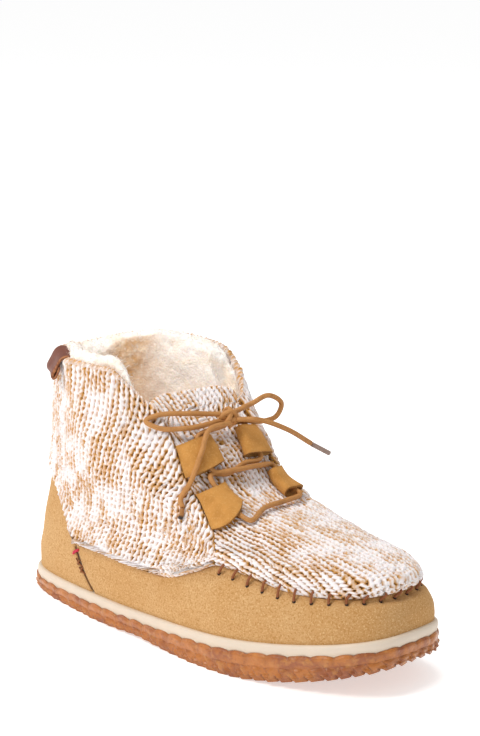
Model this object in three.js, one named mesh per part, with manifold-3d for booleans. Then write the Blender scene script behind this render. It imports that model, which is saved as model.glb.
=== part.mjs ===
// Slipper bootie for a right foot: knit upper, suede wall, gum cup sole, fleece collar and a round leather lace.
// Millimetres. Toe along +X, the outer (little toe) side along -Y, floor at Z = 0.
import * as THREE from "three";
import { mergeVertices } from "three/addons/utils/BufferGeometryUtils.js";
import Module from "manifold-3d";

const wasm = await Module();
wasm.setup();

// Driving sizes
const LENGTH = 262; // upper from heel to toe along the line where it meets the sole
const BALL_WIDTH = 92; // the named width that the outline tables are shares of
const COLLAR_HEIGHT = 134.8; // knit edge at the heel above the floor
const SOLE_HEIGHT = 12.3; // floor to the upper's lower edge at the heel
const BED_SLOPE = 0.0314; // the sole thickens from heel to ball, so that the upper leans back by this much
const TOE_SPRING = 10; // of the upper's lower edge, above the sloping bed
const TREAD_SPRING = 16.5; // of the tread, above the floor
const WALL = 3.5; // knit with its lining
const SUEDE = 1.8;
const QUARTER_STEP = 2; // how far the quarters stand over the vamp
const GAP = 0.3; // between pieces that meet
const FLEECE_PILE = 8.5;
const FLEECE_RISE = 6.5; // pile above the knit edge on the outer side
const FLEECE_RISE_INNER = 2.5; // and on the inner side, whose edge is higher
const LACE_DIAMETER = 2.8;
const FOXING_OVERHANG = 2; // cream band beyond the upper
const FOXING_HEIGHT = 6;
const GUM_OVERHANG = 2.6; // gum side beyond the upper
const GUM_LIP = 1.9; // scalloped rim over the foot of the cream band
const GUM_RIM = 2.5; // how far the cream band stands in the gum cup
const GUM_UNDERCUT = 1.6;
const LUG_DEPTH = 2.4; // of the grooves across the tread
const LUG_HEIGHT = 2.2; // of the leaf-shaped ends on the side
const LUG_ARCH = 1.2; // how much higher the side starts between them
const LOBE_RELIEF = 1.1;
const LOBE_SINK = 1; // foot of the lobes inside the gum side
const RIM_STEP = 0.5; // rim inside the gum side
const BARREL_AT = 0.62; // widest part of the gum side, as a share of its height
const RIM_WAVE = 1.2;
const HEEL_ROCK = 1.6;
const ARCH_RISE = 1.6;
const FOXING_SHOULDER = 1.4; // rounding of the cream band's upper edge, down
const FOXING_ROUND = 1.1; // and inwards
const INSOLE_THICKNESS = 4.5;
const INSOLE_BEVEL = 1;
const TONGUE_THICKNESS = 4.8;
const TONGUE_SINK = 0.45; // tongue's face below the vamp's
const THROAT_CUT_OVER = 1.2; // reach of the throat's slot beyond the wall, outwards
const THROAT_CUT_UNDER = 1.3; // and inwards
const QUARTER_SINK = 1; // the quarters' step reaches this far into the wall, to be one with it
const FLEECE_SHORT = 0.77; // angle by which the pile stops short of the quarters' front edges
const TUFT = 1.5; // unevenness of the pile
const TAB_LEAF = 1.2; // leather of a lace tab
const TAB_PLAY = 0.7; // room round the lace in a tab
const TAB_CLEAR = 0.45; // tabs over the vamp's face
const KNOT_HEIGHT = 9; // of the knot's middle over the tongue's face
const LOBES = 52; // scallops round the sole's side

// Spacing of the grids: points around, rows up
const AROUND = 52;
const ROWS_UNDER_SUEDE = 4;
const ROWS_OF_KNIT = 10;
const THROAT_ROWS = 8;
const THROAT_COLUMNS = 9;
const FOOT_ROWS = 3; // of the quarters, below the throat
const STEADY_COLUMNS = 10; // of each quarter from the heel, at the wall's own angles
const SPREAD_COLUMNS = 6; // from there to the front edge
const SOLE_RING = 52;
const STATIONS_PER_LOBE = 3;
const FLEECE_COLUMNS = 34;

const RISE = COLLAR_HEIGHT - SOLE_HEIGHT;
const HALF = BALL_WIDTH / 2;

// Closed level lines of the upper's outer face, from the feather line up to the collar. back and front are
// shares of LENGTH, the heights zHeel to zToe shares of RISE above the sole, and inRise is how much higher the
// inner side stands. out and in are half widths on the outer and inner side as shares of HALF, shift moves the
// toe end sideways (share of HALF), squareness is the exponent of the front end's roundness, and skew moves the
// inner side forward.
const LEVELS = [
  {
    name: "feather", back: 0, front: 1, zHeel: 0.004, zMid: 0, zBall: 0.016, zToe: 0.02, inRise: 0,
    outHeel: 0.72, outMid: 0.84, outBall: 1.05, outToe: 1.0, inHeel: 0.75, inMid: 0.69, inBall: 0.94, inToe: 1.02,
    shift: 0.11, squareness: 3.2, skew: 0,
  },
  {
    name: "bulge", back: 0, front: 0.998, zHeel: 0.09, zMid: 0.085, zBall: 0.1, zToe: 0.09, inRise: 0,
    outHeel: 0.73, outMid: 0.86, outBall: 1.06, outToe: 1.01, inHeel: 0.75, inMid: 0.71, inBall: 0.95, inToe: 1.03,
    shift: 0.11, squareness: 3.1, skew: 0,
  },
  {
    name: "shoulder", back: 0.008, front: 0.987, zHeel: 0.17, zMid: 0.17, zBall: 0.2, zToe: 0.155, inRise: 0,
    outHeel: 0.71, outMid: 0.86, outBall: 0.99, outToe: 0.95, inHeel: 0.73, inMid: 0.73, inBall: 0.92, inToe: 1.0,
    shift: 0.11, squareness: 3.0, skew: 0,
  },
  {
    name: "seam", back: 0.015, front: 0.966, zHeel: 0.25, zMid: 0.25, zBall: 0.277, zToe: 0.2, inRise: 0,
    outHeel: 0.69, outMid: 0.85, outBall: 0.87, outToe: 0.87, inHeel: 0.72, inMid: 0.75, inBall: 0.87, inToe: 1.0,
    shift: 0.1, squareness: 2.8, skew: 0,
  },
  {
    name: "puff", back: 0.024, front: 0.966, zHeel: 0.33, zMid: 0.33, zBall: 0.335, zToe: 0.27, inRise: 0,
    outHeel: 0.67, outMid: 0.82, outBall: 0.84, outToe: 0.82, inHeel: 0.71, inMid: 0.76, inBall: 0.87, inToe: 1.0,
    shift: 0.1, squareness: 2.6, skew: 0,
  },
  {
    name: "vamp", back: 0.035, front: 0.875, zHeel: 0.42, zMid: 0.42, zBall: 0.39, zToe: 0.371, inRise: 0,
    outHeel: 0.635, outMid: 0.78, outBall: 0.8, outToe: 0.76, inHeel: 0.7, inMid: 0.77, inBall: 0.87, inToe: 0.92,
    shift: 0.09, squareness: 2.4, skew: 0,
  },
  {
    name: "instep", back: 0.048, front: 0.74, zHeel: 0.52, zMid: 0.52, zBall: 0.46, zToe: 0.44, inRise: 0,
    outHeel: 0.595, outMid: 0.74, outBall: 0.75, outToe: 0.74, inHeel: 0.69, inMid: 0.78, inBall: 0.9, inToe: 0.95,
    shift: 0.06, squareness: 2.6, skew: 0.03,
  },
  {
    name: "throat", back: 0.06, front: 0.6, zHeel: 0.66, zMid: 0.66, zBall: 0.59, zToe: 0.526, inRise: 0,
    outHeel: 0.553, outMid: 0.69, outBall: 0.71, outToe: 0.71, inHeel: 0.68, inMid: 0.82, inBall: 0.9, inToe: 0.95,
    shift: 0.03, squareness: 3.0, skew: 0.07,
  },
  {
    name: "ankle", back: 0.07, front: 0.52, zHeel: 0.85, zMid: 0.84, zBall: 0.77, zToe: 0.714, inRise: 0.03,
    outHeel: 0.525, outMid: 0.67, outBall: 0.69, outToe: 0.68, inHeel: 0.69, inMid: 0.84, inBall: 0.94, inToe: 0.96,
    shift: 0, squareness: 3.6, skew: 0.11,
  },
  {
    name: "collar", back: 0.087, front: 0.43, zHeel: 1.04, zMid: 1.035, zBall: 1.035, zToe: 0.87, inRise: 0.06,
    outHeel: 0.46, outMid: 0.68, outBall: 0.7, outToe: 0.68, inHeel: 0.7, inMid: 0.9, inBall: 1.0, inToe: 1.0,
    shift: 0, squareness: 4.6, skew: 0.15,
  },
];
const COLLAR = LEVELS.length - 1;
const WIDTH_AT = [0, 0.13, 0.4, 0.7, 0.9, 1]; // shares along a level where its half widths are given
const HEIGHT_AT = [0, 0.4, 0.7, 1];
const HEEL_SQUARENESS = 2.3;
const SWING_FROM = 0.45; // share along a level where shift begins
const SPRING_UP_TO = 5; // level above which the toe spring has no effect

// Level that the suede reaches, by share along the level: peak at the heel, low under the quarter, then the
// moccasin seam
const SUEDE_TOP = {
  along: [0, 0.05, 0.1, 0.165, 0.195, 0.3, 0.5, 0.6, 0.65, 0.75, 0.84, 0.95, 1],
  level: [5.9, 5.6, 4.8, 3.1, 2.3, 2.45, 2.2, 2.8, 3.35, 2.95, 2.68, 2.95, 3.2],
};
// Front edge of the quarters: share along each level
const QUARTER_EDGE = {
  level: [2.4, 2.9, 3.4, 4.3, 5.6, 6.3, 6.9, 7.6, 8.3, 9],
  outer: [0.56, 0.625, 0.648, 0.655, 0.745, 0.815, 0.878, 0.91, 0.945, 0.972],
  inner: [0.56, 0.625, 0.648, 0.66, 0.77, 0.87, 0.925, 0.95, 0.972, 0.98],
};
const THROAT_LEVEL = 6.3; // where the vamp ends and the tongue comes out
const COLLAR_DIP = 0.15; // in levels, at the quarters' front corners
const DIP_FROM = 0.86; // share along the collar where it begins
const DIP_TO = 0.975;
const FLAP = 0.1; // how far the quarters reach past the cut of the wall under them, in angle
const FLAP_RAMP = 0.03;
const FLAP_LIFT = 0.1; // underside of the flap over the vamp's face
const SIDE_SEAM = 0.255; // share along the sole where counter and suede wall meet
const TOE_RISE_FROM = 0.62;
const TREAD_RISE_FROM = 0.68;
const HEEL_RISE_TO = 0.12;
const ARCH_AT = 0.42; // share of LENGTH
const ARCH_REACH = 0.13;
const TONGUE_OVER_COLLAR = 0.3; // in levels
const TONGUE_FROM = 0.13; // levels above the vamp's end
const TONGUE_SIDE_GAP = 0.03; // angle
const QUARTER_FOOT = 0.07; // lower edge of the quarters over the suede's top, in levels
const KNIT_FOOT = 0.02; // and of the wall's knit
const SUEDE_GAP = 0.08; // between the suede and the knit over it, in levels
const SEAM_GAP = 0.006; // half of the gap at the side seam, angle
const CHANNEL_FROM = 0.5; // lace channel in a tab, as shares from root to fold
const CHANNEL_TO = 0.9;
const PULL_TAB_LEATHER = 1.3;
const PULL_TAB_FROM = 0.5; // angles
const PULL_TAB_TO = 1.2;

const clamp = (x, lo, hi) => Math.min(hi, Math.max(lo, x));
const mix = (a, b, t) => a + (b - a) * t;

// Smooth curve through the pairs (xs, ys) that doesn't overshoot them
function smooth(xs, ys, x) {
  const last = xs.length - 1;
  const slope = (i) => (ys[i + 1] - ys[i]) / (xs[i + 1] - xs[i]);
  const tangent = (i) => {
    if (i === 0) return slope(0);
    if (i === last) return slope(last - 1);
    const [a, b] = [slope(i - 1), slope(i)];
    return a * b <= 0 ? 0 : (2 * a * b) / (a + b);
  };
  const at = clamp(x, xs[0], xs[last]);
  let i = 0;
  while (i < last - 1 && at > xs[i + 1]) i += 1;
  const h = xs[i + 1] - xs[i];
  const t = (at - xs[i]) / h;
  return (
    ys[i] * (1 + 2 * t) * (1 - t) ** 2 +
    tangent(i) * h * t * (1 - t) ** 2 +
    ys[i + 1] * t * t * (3 - 2 * t) +
    tangent(i + 1) * h * t * t * (t - 1)
  );
}

const LEVEL_NUMBERS = LEVELS.map((_, i) => i);
const columns = Object.keys(LEVELS[0]).filter((key) => key !== "name");

// Values of a level line between the rows of the table; above the collar they go on along the last slope
function levelRow(level) {
  const row = {};
  for (const key of columns) {
    const values = LEVELS.map((r) => r[key]);
    row[key] = smooth(LEVEL_NUMBERS, values, level);
    const beyond = Math.max(0, level - COLLAR);
    row[key] += beyond * (values[COLLAR] - values[COLLAR - 1]);
  }
  return row;
}

// How much the sole line lifts off the floor at a place along the shoe
function lift(x) {
  const toe = clamp((x / LENGTH - TOE_RISE_FROM) / (1 - TOE_RISE_FROM), 0, 1.05);
  return TOE_SPRING * toe * toe;
}

const share = (angle) => (1 - Math.cos(angle)) / 2;
const angleOf = (along) => Math.acos(1 - 2 * clamp(along, 0, 1));

// Place at a height over the sloping bed, which starts at the heel
const bedAngle = Math.atan(BED_SLOPE);
function onBed(x, y, height) {
  return new THREE.Vector3(
    x * Math.cos(bedAngle) - height * Math.sin(bedAngle),
    y,
    SOLE_HEIGHT + x * Math.sin(bedAngle) + height * Math.cos(bedAngle),
  );
}

// Point of the upper's outer face: angle 0 at the heel, PI at the toe, the outer side between them
const rowCache = new Map();
function facePoint(angle, level) {
  const key = Math.round(level * 1e5);
  if (!rowCache.has(key)) rowCache.set(key, levelRow(level));
  const row = rowCache.get(key);
  const s = share(angle);
  const blend = s * s * (3 - 2 * s);
  const exponent = mix(HEEL_SQUARENESS, row.squareness, blend);
  const round = (1 - Math.min(1, Math.abs(Math.cos(angle)) ** exponent)) ** (1 / exponent);
  const outer = Math.sin(angle) >= 0;
  const widths = outer
    ? [row.outHeel, row.outHeel, row.outMid, row.outBall, row.outToe, row.outToe]
    : [row.inHeel, row.inHeel, row.inMid, row.inBall, row.inToe, row.inToe];
  const x = LENGTH * mix(row.back, row.front, s);
  const y = (outer ? -1 : 1) * HALF * smooth(WIDTH_AT, widths, s) * round;
  const bend = clamp((s - SWING_FROM) / (1 - SWING_FROM), 0, 1);
  // The inner side's own rise is greatest a third of the way along, where s (1 - s)^2 is 4 / 27
  const inRise = outer ? 0 : row.inRise * s * (1 - s) ** 2 * (27 / 4);
  const z = RISE * (smooth(HEIGHT_AT, [row.zHeel, row.zMid, row.zBall, row.zToe], s) + inRise);
  const low = clamp(1 - level / SPRING_UP_TO, 0, 1);
  const across = y + HALF * row.shift * bend * bend;
  return onBed(x + row.skew * across, across, z + lift(x) * low ** 0.5);
}

// Outward normal of the face, from neighbouring points
function faceNormal(angle, level) {
  const d = 0.02;
  const along = facePoint(angle + d, level).sub(facePoint(angle - d, level));
  const up = facePoint(angle, level + d).sub(facePoint(angle, Math.max(0, level - d)));
  return along.cross(up).normalize();
}

function offsetPoint(angle, level, out) {
  return facePoint(angle, level).addScaledVector(faceNormal(angle, level), out);
}

// Mesh helpers
function geometryOf(points, triangles) {
  const g = new THREE.BufferGeometry();
  g.setAttribute("position", new THREE.Float32BufferAttribute(points.flatMap((p) => [p.x, p.y, p.z]), 3));
  g.setIndex(triangles);
  return g;
}

function solidOf(geometry) {
  const g = geometry.clone();
  g.deleteAttribute("normal");
  g.deleteAttribute("uv");
  const merged = mergeVertices(g, 1e-4);
  return new wasm.Manifold(
    new wasm.Mesh({
      numProp: 3,
      vertProperties: merged.attributes.position.array,
      triVerts: new Uint32Array(merged.index.array),
    }),
  );
}

function geometryFrom(solid) {
  const m = solid.getMesh();
  const g = new THREE.BufferGeometry();
  const points = [];
  for (let i = 0; i < m.numVert; i += 1) points.push(...m.vertProperties.subarray(i * m.numProp, i * m.numProp + 3));
  g.setAttribute("position", new THREE.Float32BufferAttribute(points, 3));
  g.setIndex(Array.from(m.triVerts));
  return g;
}

// Closed solid whose surface is a list of closed loops, the last one joined to the first
function ringOfLoops(loops) {
  const n = loops[0].length;
  const triangles = [];
  loops.forEach((_, j) => {
    const next = (j + 1) % loops.length;
    for (let i = 0; i < n; i += 1) {
      const k = (i + 1) % n;
      triangles.push(j * n + i, j * n + k, next * n + k, j * n + i, next * n + k, next * n + i);
    }
  });
  return geometryOf(loops.flat(), triangles);
}

// Closed solid between an outer and an inner grid of points, both [row][column]
function slab(outer, inner) {
  const rows = outer.length;
  const cols = outer[0].length;
  const points = [...outer.flat(), ...inner.flat()];
  const o = (j, i) => j * cols + i;
  const n = (j, i) => rows * cols + j * cols + i;
  const triangles = [];
  const quad = (a, b, c, d) => triangles.push(a, b, c, a, c, d);
  for (let j = 0; j < rows - 1; j += 1) {
    for (let i = 0; i < cols - 1; i += 1) {
      quad(o(j, i), o(j, i + 1), o(j + 1, i + 1), o(j + 1, i));
      quad(n(j, i), n(j + 1, i), n(j + 1, i + 1), n(j, i + 1));
    }
    quad(o(j, 0), o(j + 1, 0), n(j + 1, 0), n(j, 0));
    quad(o(j, cols - 1), n(j, cols - 1), n(j + 1, cols - 1), o(j + 1, cols - 1));
  }
  for (let i = 0; i < cols - 1; i += 1) {
    quad(o(0, i), n(0, i), n(0, i + 1), o(0, i + 1));
    quad(o(rows - 1, i), o(rows - 1, i + 1), n(rows - 1, i + 1), n(rows - 1, i));
  }
  return geometryOf(points, triangles);
}

// Closed solid from a row of sections, each a closed loop of points, with flat ends
function sweep(loops) {
  const n = loops[0].length;
  const last = (loops.length - 1) * n;
  const flat = (loop) => {
    const middle = loop.reduce((sum, p) => sum.add(p), new THREE.Vector3()).divideScalar(n);
    const far = [...loop].sort((p, q) => q.distanceTo(middle) - p.distanceTo(middle))[0];
    const u = far.clone().sub(middle).normalize();
    const cross = loop.map((p) => p.clone().sub(middle).cross(u)).sort((p, q) => q.length() - p.length())[0];
    const v = cross.clone().normalize().cross(u);
    return loop.map((p) => new THREE.Vector2(p.clone().sub(middle).dot(u), p.clone().sub(middle).dot(v)));
  };
  const triangles = [];
  for (let k = 0; k < last; k += n) {
    for (let j = 0; j < n; j += 1) {
      const m = (j + 1) % n;
      triangles.push(k + j, k + n + j, k + n + m, k + j, k + n + m, k + m);
    }
  }
  const orient = (loop) => (THREE.ShapeUtils.area(flat(loop)) > 0 ? 1 : -1);
  const cap = (loop, base, wanted) => {
    const outline = flat(loop);
    const sign = orient(loop);
    const order = sign > 0 ? outline : [...outline].reverse();
    THREE.ShapeUtils.triangulateShape(order, []).forEach((f) => {
      const [a, b, c] = sign > 0 ? f : f.map((i) => n - 1 - i);
      const forward = a < b ? b < c || c < a : b < c && c < a;
      const tri = forward ? [a, b, c] : [a, c, b];
      triangles.push(...(wanted ? tri : [tri[0], tri[2], tri[1]]).map((i) => base + i));
    });
  };
  cap(loops[0], 0, true);
  cap(loops[loops.length - 1], last, false);
  return geometryOf(loops.flat(), triangles);
}

// Panel of the face over a list of angles, between two levels at each of them
function panel({ angles, low, high, rows, outer, inner }) {
  const grid = (offset) =>
    Array.from({ length: rows + 1 }, (_, j) =>
      angles.map((a) => offsetPoint(a, mix(low(a), high(a), j / rows), offset)),
    );
  return slab(grid(outer), grid(inner));
}

const suedeTop = (angle) => smooth(SUEDE_TOP.along, SUEDE_TOP.level, share(angle));
// Angle of a quarter's front edge, measured from the heel on its own side (1 outer, -1 inner)
const edgeAngle = (level, side) =>
  angleOf(smooth(QUARTER_EDGE.level, side > 0 ? QUARTER_EDGE.outer : QUARTER_EDGE.inner, level));
// Level of the knit's upper edge, which dips at the front corners
const collarTop = (angle) => COLLAR - COLLAR_DIP * clamp((share(angle) - DIP_FROM) / (DIP_TO - DIP_FROM), 0, 1) ** 1.5;

const parts = new THREE.Group();
const FINISHES = {
  knit: { color: 0xe4c9a4, roughness: 0.95, metalness: 0 },
  suede: { color: 0xd3a366, roughness: 0.92, metalness: 0 },
  gum: { color: 0xb9783f, roughness: 0.55, metalness: 0 },
  cream: { color: 0xeee4d3, roughness: 0.6, metalness: 0 },
  fleece: { color: 0xf6efe2, roughness: 1, metalness: 0 },
  lace: { color: 0xa6733d, roughness: 0.7, metalness: 0 },
  label: { color: 0x7a3c1f, roughness: 0.7, metalness: 0 },
  aglet: { color: 0x8d7a6c, roughness: 0.4, metalness: 0 },
};

function add(name, geometry, finish) {
  const mesh = new THREE.Mesh(geometry, new THREE.MeshStandardMaterial(FINISHES[finish]));
  mesh.name = name;
  parts.add(mesh);
}

// Upper: one wall, set back under the suede, with the quarters standing over the vamp and the tongue
function upperWall() {
  const angles = Array.from({ length: AROUND }, (_, i) => (2 * Math.PI * i) / AROUND);
  const loop = (levelAt, offset) => angles.map((a) => offsetPoint(a, levelAt(a), offset));
  const underSuede = -(SUEDE + GAP);
  const outer = [];
  for (let j = 0; j <= ROWS_UNDER_SUEDE; j += 1) {
    outer.push(loop((a) => (suedeTop(a) - SUEDE_GAP) * (j / ROWS_UNDER_SUEDE), underSuede));
  }
  outer.push(loop(suedeTop, underSuede));
  const knit = (a, t) => mix(suedeTop(a) + KNIT_FOOT, collarTop(a), t);
  for (let j = 0; j <= ROWS_OF_KNIT; j += 1) outer.push(loop((a) => knit(a, j / ROWS_OF_KNIT), 0));
  const inner = [];
  for (let j = ROWS_OF_KNIT; j >= 0; j -= 2) inner.push(loop((a) => knit(a, j / ROWS_OF_KNIT), -WALL - SUEDE));
  for (let j = ROWS_UNDER_SUEDE - 2; j >= 0; j -= 2) {
    inner.push(loop((a) => suedeTop(a) * (j / ROWS_UNDER_SUEDE), underSuede - WALL));
  }
  return solidOf(ringOfLoops([...outer, ...inner]));
}

// Grid over the throat, between the quarters' roots; narrower by an angle on each side
function throatGrid(levels, narrower, offset) {
  return levels.map((level) => {
    const from = edgeAngle(level, 1) - FLAP + narrower;
    const to = 2 * Math.PI - edgeAngle(level, -1) + FLAP - narrower;
    const at = (i) => offsetPoint(mix(from, to, i / THROAT_COLUMNS), level, offset);
    return Array.from({ length: THROAT_COLUMNS + 1 }, (_, i) => at(i));
  });
}
const throatLevels = (first, last) => [
  first,
  ...Array.from({ length: THROAT_ROWS - 1 }, (_, j) => mix(THROAT_LEVEL, COLLAR, (j + 1) / THROAT_ROWS)),
  last,
];
const quarterLevels = throatLevels(THROAT_LEVEL, COLLAR);
const cutLevels = throatLevels(THROAT_LEVEL, COLLAR + 0.5);

// Slot through the wall between the quarters
function throatCut() {
  const under = -SUEDE - WALL - THROAT_CUT_UNDER;
  return solidOf(slab(throatGrid(cutLevels, 0, THROAT_CUT_OVER), throatGrid(cutLevels, 0, under)));
}

// Both quarters in one band: the step over the wall from its lower edge to the collar, from the inner front edge
// round the heel to the outer one, where a flap reaches past the cut of the wall and over the tongue
function quarters() {
  const step = (2 * Math.PI) / AROUND;
  const last = STEADY_COLUMNS * step;
  const angleAt = (k, edge) => {
    if (k <= STEADY_COLUMNS) return k * step;
    const spread = (k - STEADY_COLUMNS) / SPREAD_COLUMNS;
    if (spread <= 1) return mix(last, edge - FLAP - FLAP_RAMP, spread);
    return k === STEADY_COLUMNS + SPREAD_COLUMNS + 1 ? edge - FLAP : edge;
  };
  const half = STEADY_COLUMNS + SPREAD_COLUMNS + 2;
  const columnsOf = Array.from({ length: 2 * half + 1 }, (_, i) => i - half);
  const levelAt = (angle, j) => {
    const foot = suedeTop(angle) + QUARTER_FOOT;
    if (j < FOOT_ROWS) return mix(foot, THROAT_LEVEL, j / FOOT_ROWS);
    return Math.min(quarterLevels[j - FOOT_ROWS], collarTop(angle));
  };
  const grid = (offsetAt) =>
    Array.from({ length: FOOT_ROWS + quarterLevels.length }, (_, j) =>
      columnsOf.map((k) => {
        const side = k < 0 ? -1 : 1;
        let level = THROAT_LEVEL;
        let angle = 0;
        for (let pass = 0; pass < 14; pass += 1) {
          angle = angleAt(Math.abs(k), edgeAngle(level, side));
          level = levelAt(angle, j);
        }
        return offsetPoint(side * angle, level, offsetAt(j, Math.abs(k)));
      }),
    );
  const overTongue = (j, k) => j >= FOOT_ROWS && k > STEADY_COLUMNS + SPREAD_COLUMNS;
  return solidOf(slab(grid(() => QUARTER_STEP), grid((j, k) => (overTongue(j, k) ? FLAP_LIFT : -QUARTER_SINK))));
}
const wall = upperWall().subtract(throatCut());
add("upper", geometryFrom(wall.add(quarters())), "knit");

// Suede wall round the front and counter round the heel, on either side of the side seams. Their columns stand
// at the wall's own angles, so that both bend alike.
const seamAngle = angleOf(SIDE_SEAM);
function suedePanel(from, to) {
  const step = (2 * Math.PI) / AROUND;
  const angles = [from];
  for (let k = Math.ceil(from / step + 0.2); k * step < to - 0.2 * step; k += 1) angles.push(k * step);
  angles.push(to);
  const high = (a) => suedeTop(a) - SUEDE_GAP;
  return panel({ angles, low: () => 0, high, rows: ROWS_UNDER_SUEDE, outer: 0, inner: -SUEDE });
}
add("suede_wall", suedePanel(seamAngle + SEAM_GAP, 2 * Math.PI - seamAngle - SEAM_GAP), "suede");
add("heel_counter", suedePanel(-seamAngle + SEAM_GAP, seamAngle - SEAM_GAP), "suede");

// Tongue: between the cut edges of the wall, from the vamp up past the collar
function tongue() {
  const levels = throatLevels(THROAT_LEVEL + TONGUE_FROM, COLLAR + TONGUE_OVER_COLLAR);
  return slab(
    throatGrid(levels, TONGUE_SIDE_GAP, -TONGUE_SINK),
    throatGrid(levels, TONGUE_SIDE_GAP, -TONGUE_SINK - TONGUE_THICKNESS),
  );
}
add("tongue", tongue(), "knit");

// Sole line: a ring of places round the upper's lower edge, evenly spaced along it
function soleRing(count) {
  const fine = 720;
  const line = Array.from({ length: fine + 1 }, (_, i) => facePoint((2 * Math.PI * i) / fine, 0));
  const run = [0];
  for (let i = 1; i <= fine; i += 1) {
    run.push(run[i - 1] + Math.hypot(line[i].x - line[i - 1].x, line[i].y - line[i - 1].y));
  }
  const half = fine / 2;
  const at = (length) => {
    let i = 1;
    while (i < fine && run[i] < length) i += 1;
    const t = (length - run[i - 1]) / (run[i] - run[i - 1]);
    return line[i - 1].clone().lerp(line[i], t);
  };
  return Array.from({ length: count }, (_, k) => {
    const t = k / count;
    const place = t <= 0.5 ? run[half] * t * 2 : run[half] + (run[fine] - run[half]) * (t - 0.5) * 2;
    const step = 0.5;
    const ahead = at((place + step) % run[fine]);
    const behind = at((place - step + run[fine]) % run[fine]);
    const normal = new THREE.Vector3(-(ahead.y - behind.y), ahead.x - behind.x, 0).normalize().negate();
    return { point: at(place), normal };
  });
}

const featherRow = LEVELS[0];
function soleTop(x) {
  const s = clamp(x / LENGTH, 0, 1);
  const heights = [featherRow.zHeel, featherRow.zMid, featherRow.zBall, featherRow.zToe];
  return SOLE_HEIGHT + BED_SLOPE * x + RISE * smooth(HEIGHT_AT, heights, s) + lift(clamp(x, 0, LENGTH));
}

// Height of the tread: flat under heel and ball, raised at the arch, the toe and a little at the heel's back
function treadHeight(x) {
  const s = x / LENGTH;
  const heel = clamp((HEEL_RISE_TO - s) / HEEL_RISE_TO, 0, 1.1);
  const arch = clamp(1 - Math.abs(s - ARCH_AT) / ARCH_REACH, 0, 1);
  const toe = clamp((s - TREAD_RISE_FROM) / (1 - TREAD_RISE_FROM), 0, 1.05);
  return TREAD_SPRING * toe ** 1.8 + HEEL_ROCK * heel * heel + ARCH_RISE * arch * arch * (3 - 2 * arch);
}

// Closed plate from rings of points; its bottom and top are strips straight across the shoe
function plate(rings) {
  const n = rings[0].length;
  const triangles = [];
  for (let j = 0; j < rings.length - 1; j += 1) {
    for (let i = 0; i < n; i += 1) {
      const k = (i + 1) % n;
      const [a, b, c, d] = [j * n + i, j * n + k, (j + 1) * n + k, (j + 1) * n + i];
      triangles.push(a, b, c, a, c, d);
    }
  }
  const cap = (base, flip) => {
    for (let i = 0; i < n / 2; i += 1) {
      const [a, b] = [i, i + 1];
      const [c, d] = [(n - i - 1) % n, (n - i) % n];
      const faces = [[a, d, c], [a, c, b]].filter((f) => new Set(f).size === 3);
      faces.forEach(([p, q, r]) => {
        triangles.push(base + p, base + (flip ? q : r), base + (flip ? r : q));
      });
    }
  };
  cap(0, true);
  cap((rings.length - 1) * n, false);
  return geometryOf(rings.flat(), triangles);
}

function ring(places, offset, height) {
  return places.map(({ point, normal }, i) => {
    const p = point.clone().addScaledVector(normal, offset(i));
    p.z = height(p.x, i);
    return p;
  });
}

const gumTop = (x) => soleTop(x) - FOXING_HEIGHT;
const gumFloor = (x) => gumTop(x) - GUM_RIM;

function outsole() {
  const places = soleRing(LOBES * STATIONS_PER_LOBE);
  const bulge = [0, 0.75, 1]; // of the three stations on each lobe
  const lobe = (i) => bulge[i % STATIONS_PER_LOBE];
  const groove = (i) => (i % STATIONS_PER_LOBE === 0 ? 1 : 0);
  const side = (i) => GUM_OVERHANG - LOBE_SINK + LOBE_RELIEF * lobe(i);
  const rim = (x, i) => gumTop(x) + RIM_WAVE * (lobe(i) - 0.5);
  return plate([
    ring(places, () => GUM_OVERHANG - GUM_UNDERCUT, (x, i) => treadHeight(x) + LUG_DEPTH * groove(i)),
    ring(places, side, (x, i) => treadHeight(x) + LUG_HEIGHT + LUG_ARCH * groove(i)),
    ring(places, () => GUM_OVERHANG, (x) => mix(treadHeight(x), gumTop(x), BARREL_AT)),
    ring(places, () => GUM_OVERHANG - RIM_STEP, rim),
    ring(places, () => GUM_OVERHANG - GUM_LIP, rim),
    ring(places, () => GUM_OVERHANG - GUM_LIP, (x) => gumFloor(x)),
  ]);
}
add("outsole", outsole(), "gum");

function midsole() {
  const places = soleRing(SOLE_RING);
  const foot = GUM_OVERHANG - GUM_LIP - GAP;
  return plate([
    ring(places, () => foot, (x) => gumFloor(x) + GAP),
    ring(places, () => foot, (x) => gumTop(x) + RIM_WAVE / 2 + GAP),
    ring(places, () => FOXING_OVERHANG, (x) => gumTop(x) + RIM_WAVE / 2 + 2 * GAP),
    ring(places, () => FOXING_OVERHANG, (x) => soleTop(x) - FOXING_SHOULDER),
    ring(places, () => FOXING_OVERHANG - FOXING_ROUND, (x) => soleTop(x) - GAP),
  ]);
}
add("midsole", midsole(), "cream");

function insole() {
  const places = soleRing(SOLE_RING);
  const inset = -(SUEDE + GAP + WALL + 3 * GAP);
  return plate([
    ring(places, () => inset - INSOLE_BEVEL / 2, (x) => soleTop(x)),
    ring(places, () => inset, (x) => soleTop(x) + INSOLE_BEVEL),
    ring(places, () => inset, (x) => soleTop(x) + INSOLE_THICKNESS - INSOLE_BEVEL),
    ring(places, () => inset - INSOLE_BEVEL, (x) => soleTop(x) + INSOLE_THICKNESS),
  ]);
}
add("insole", insole(), "fleece");

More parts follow.
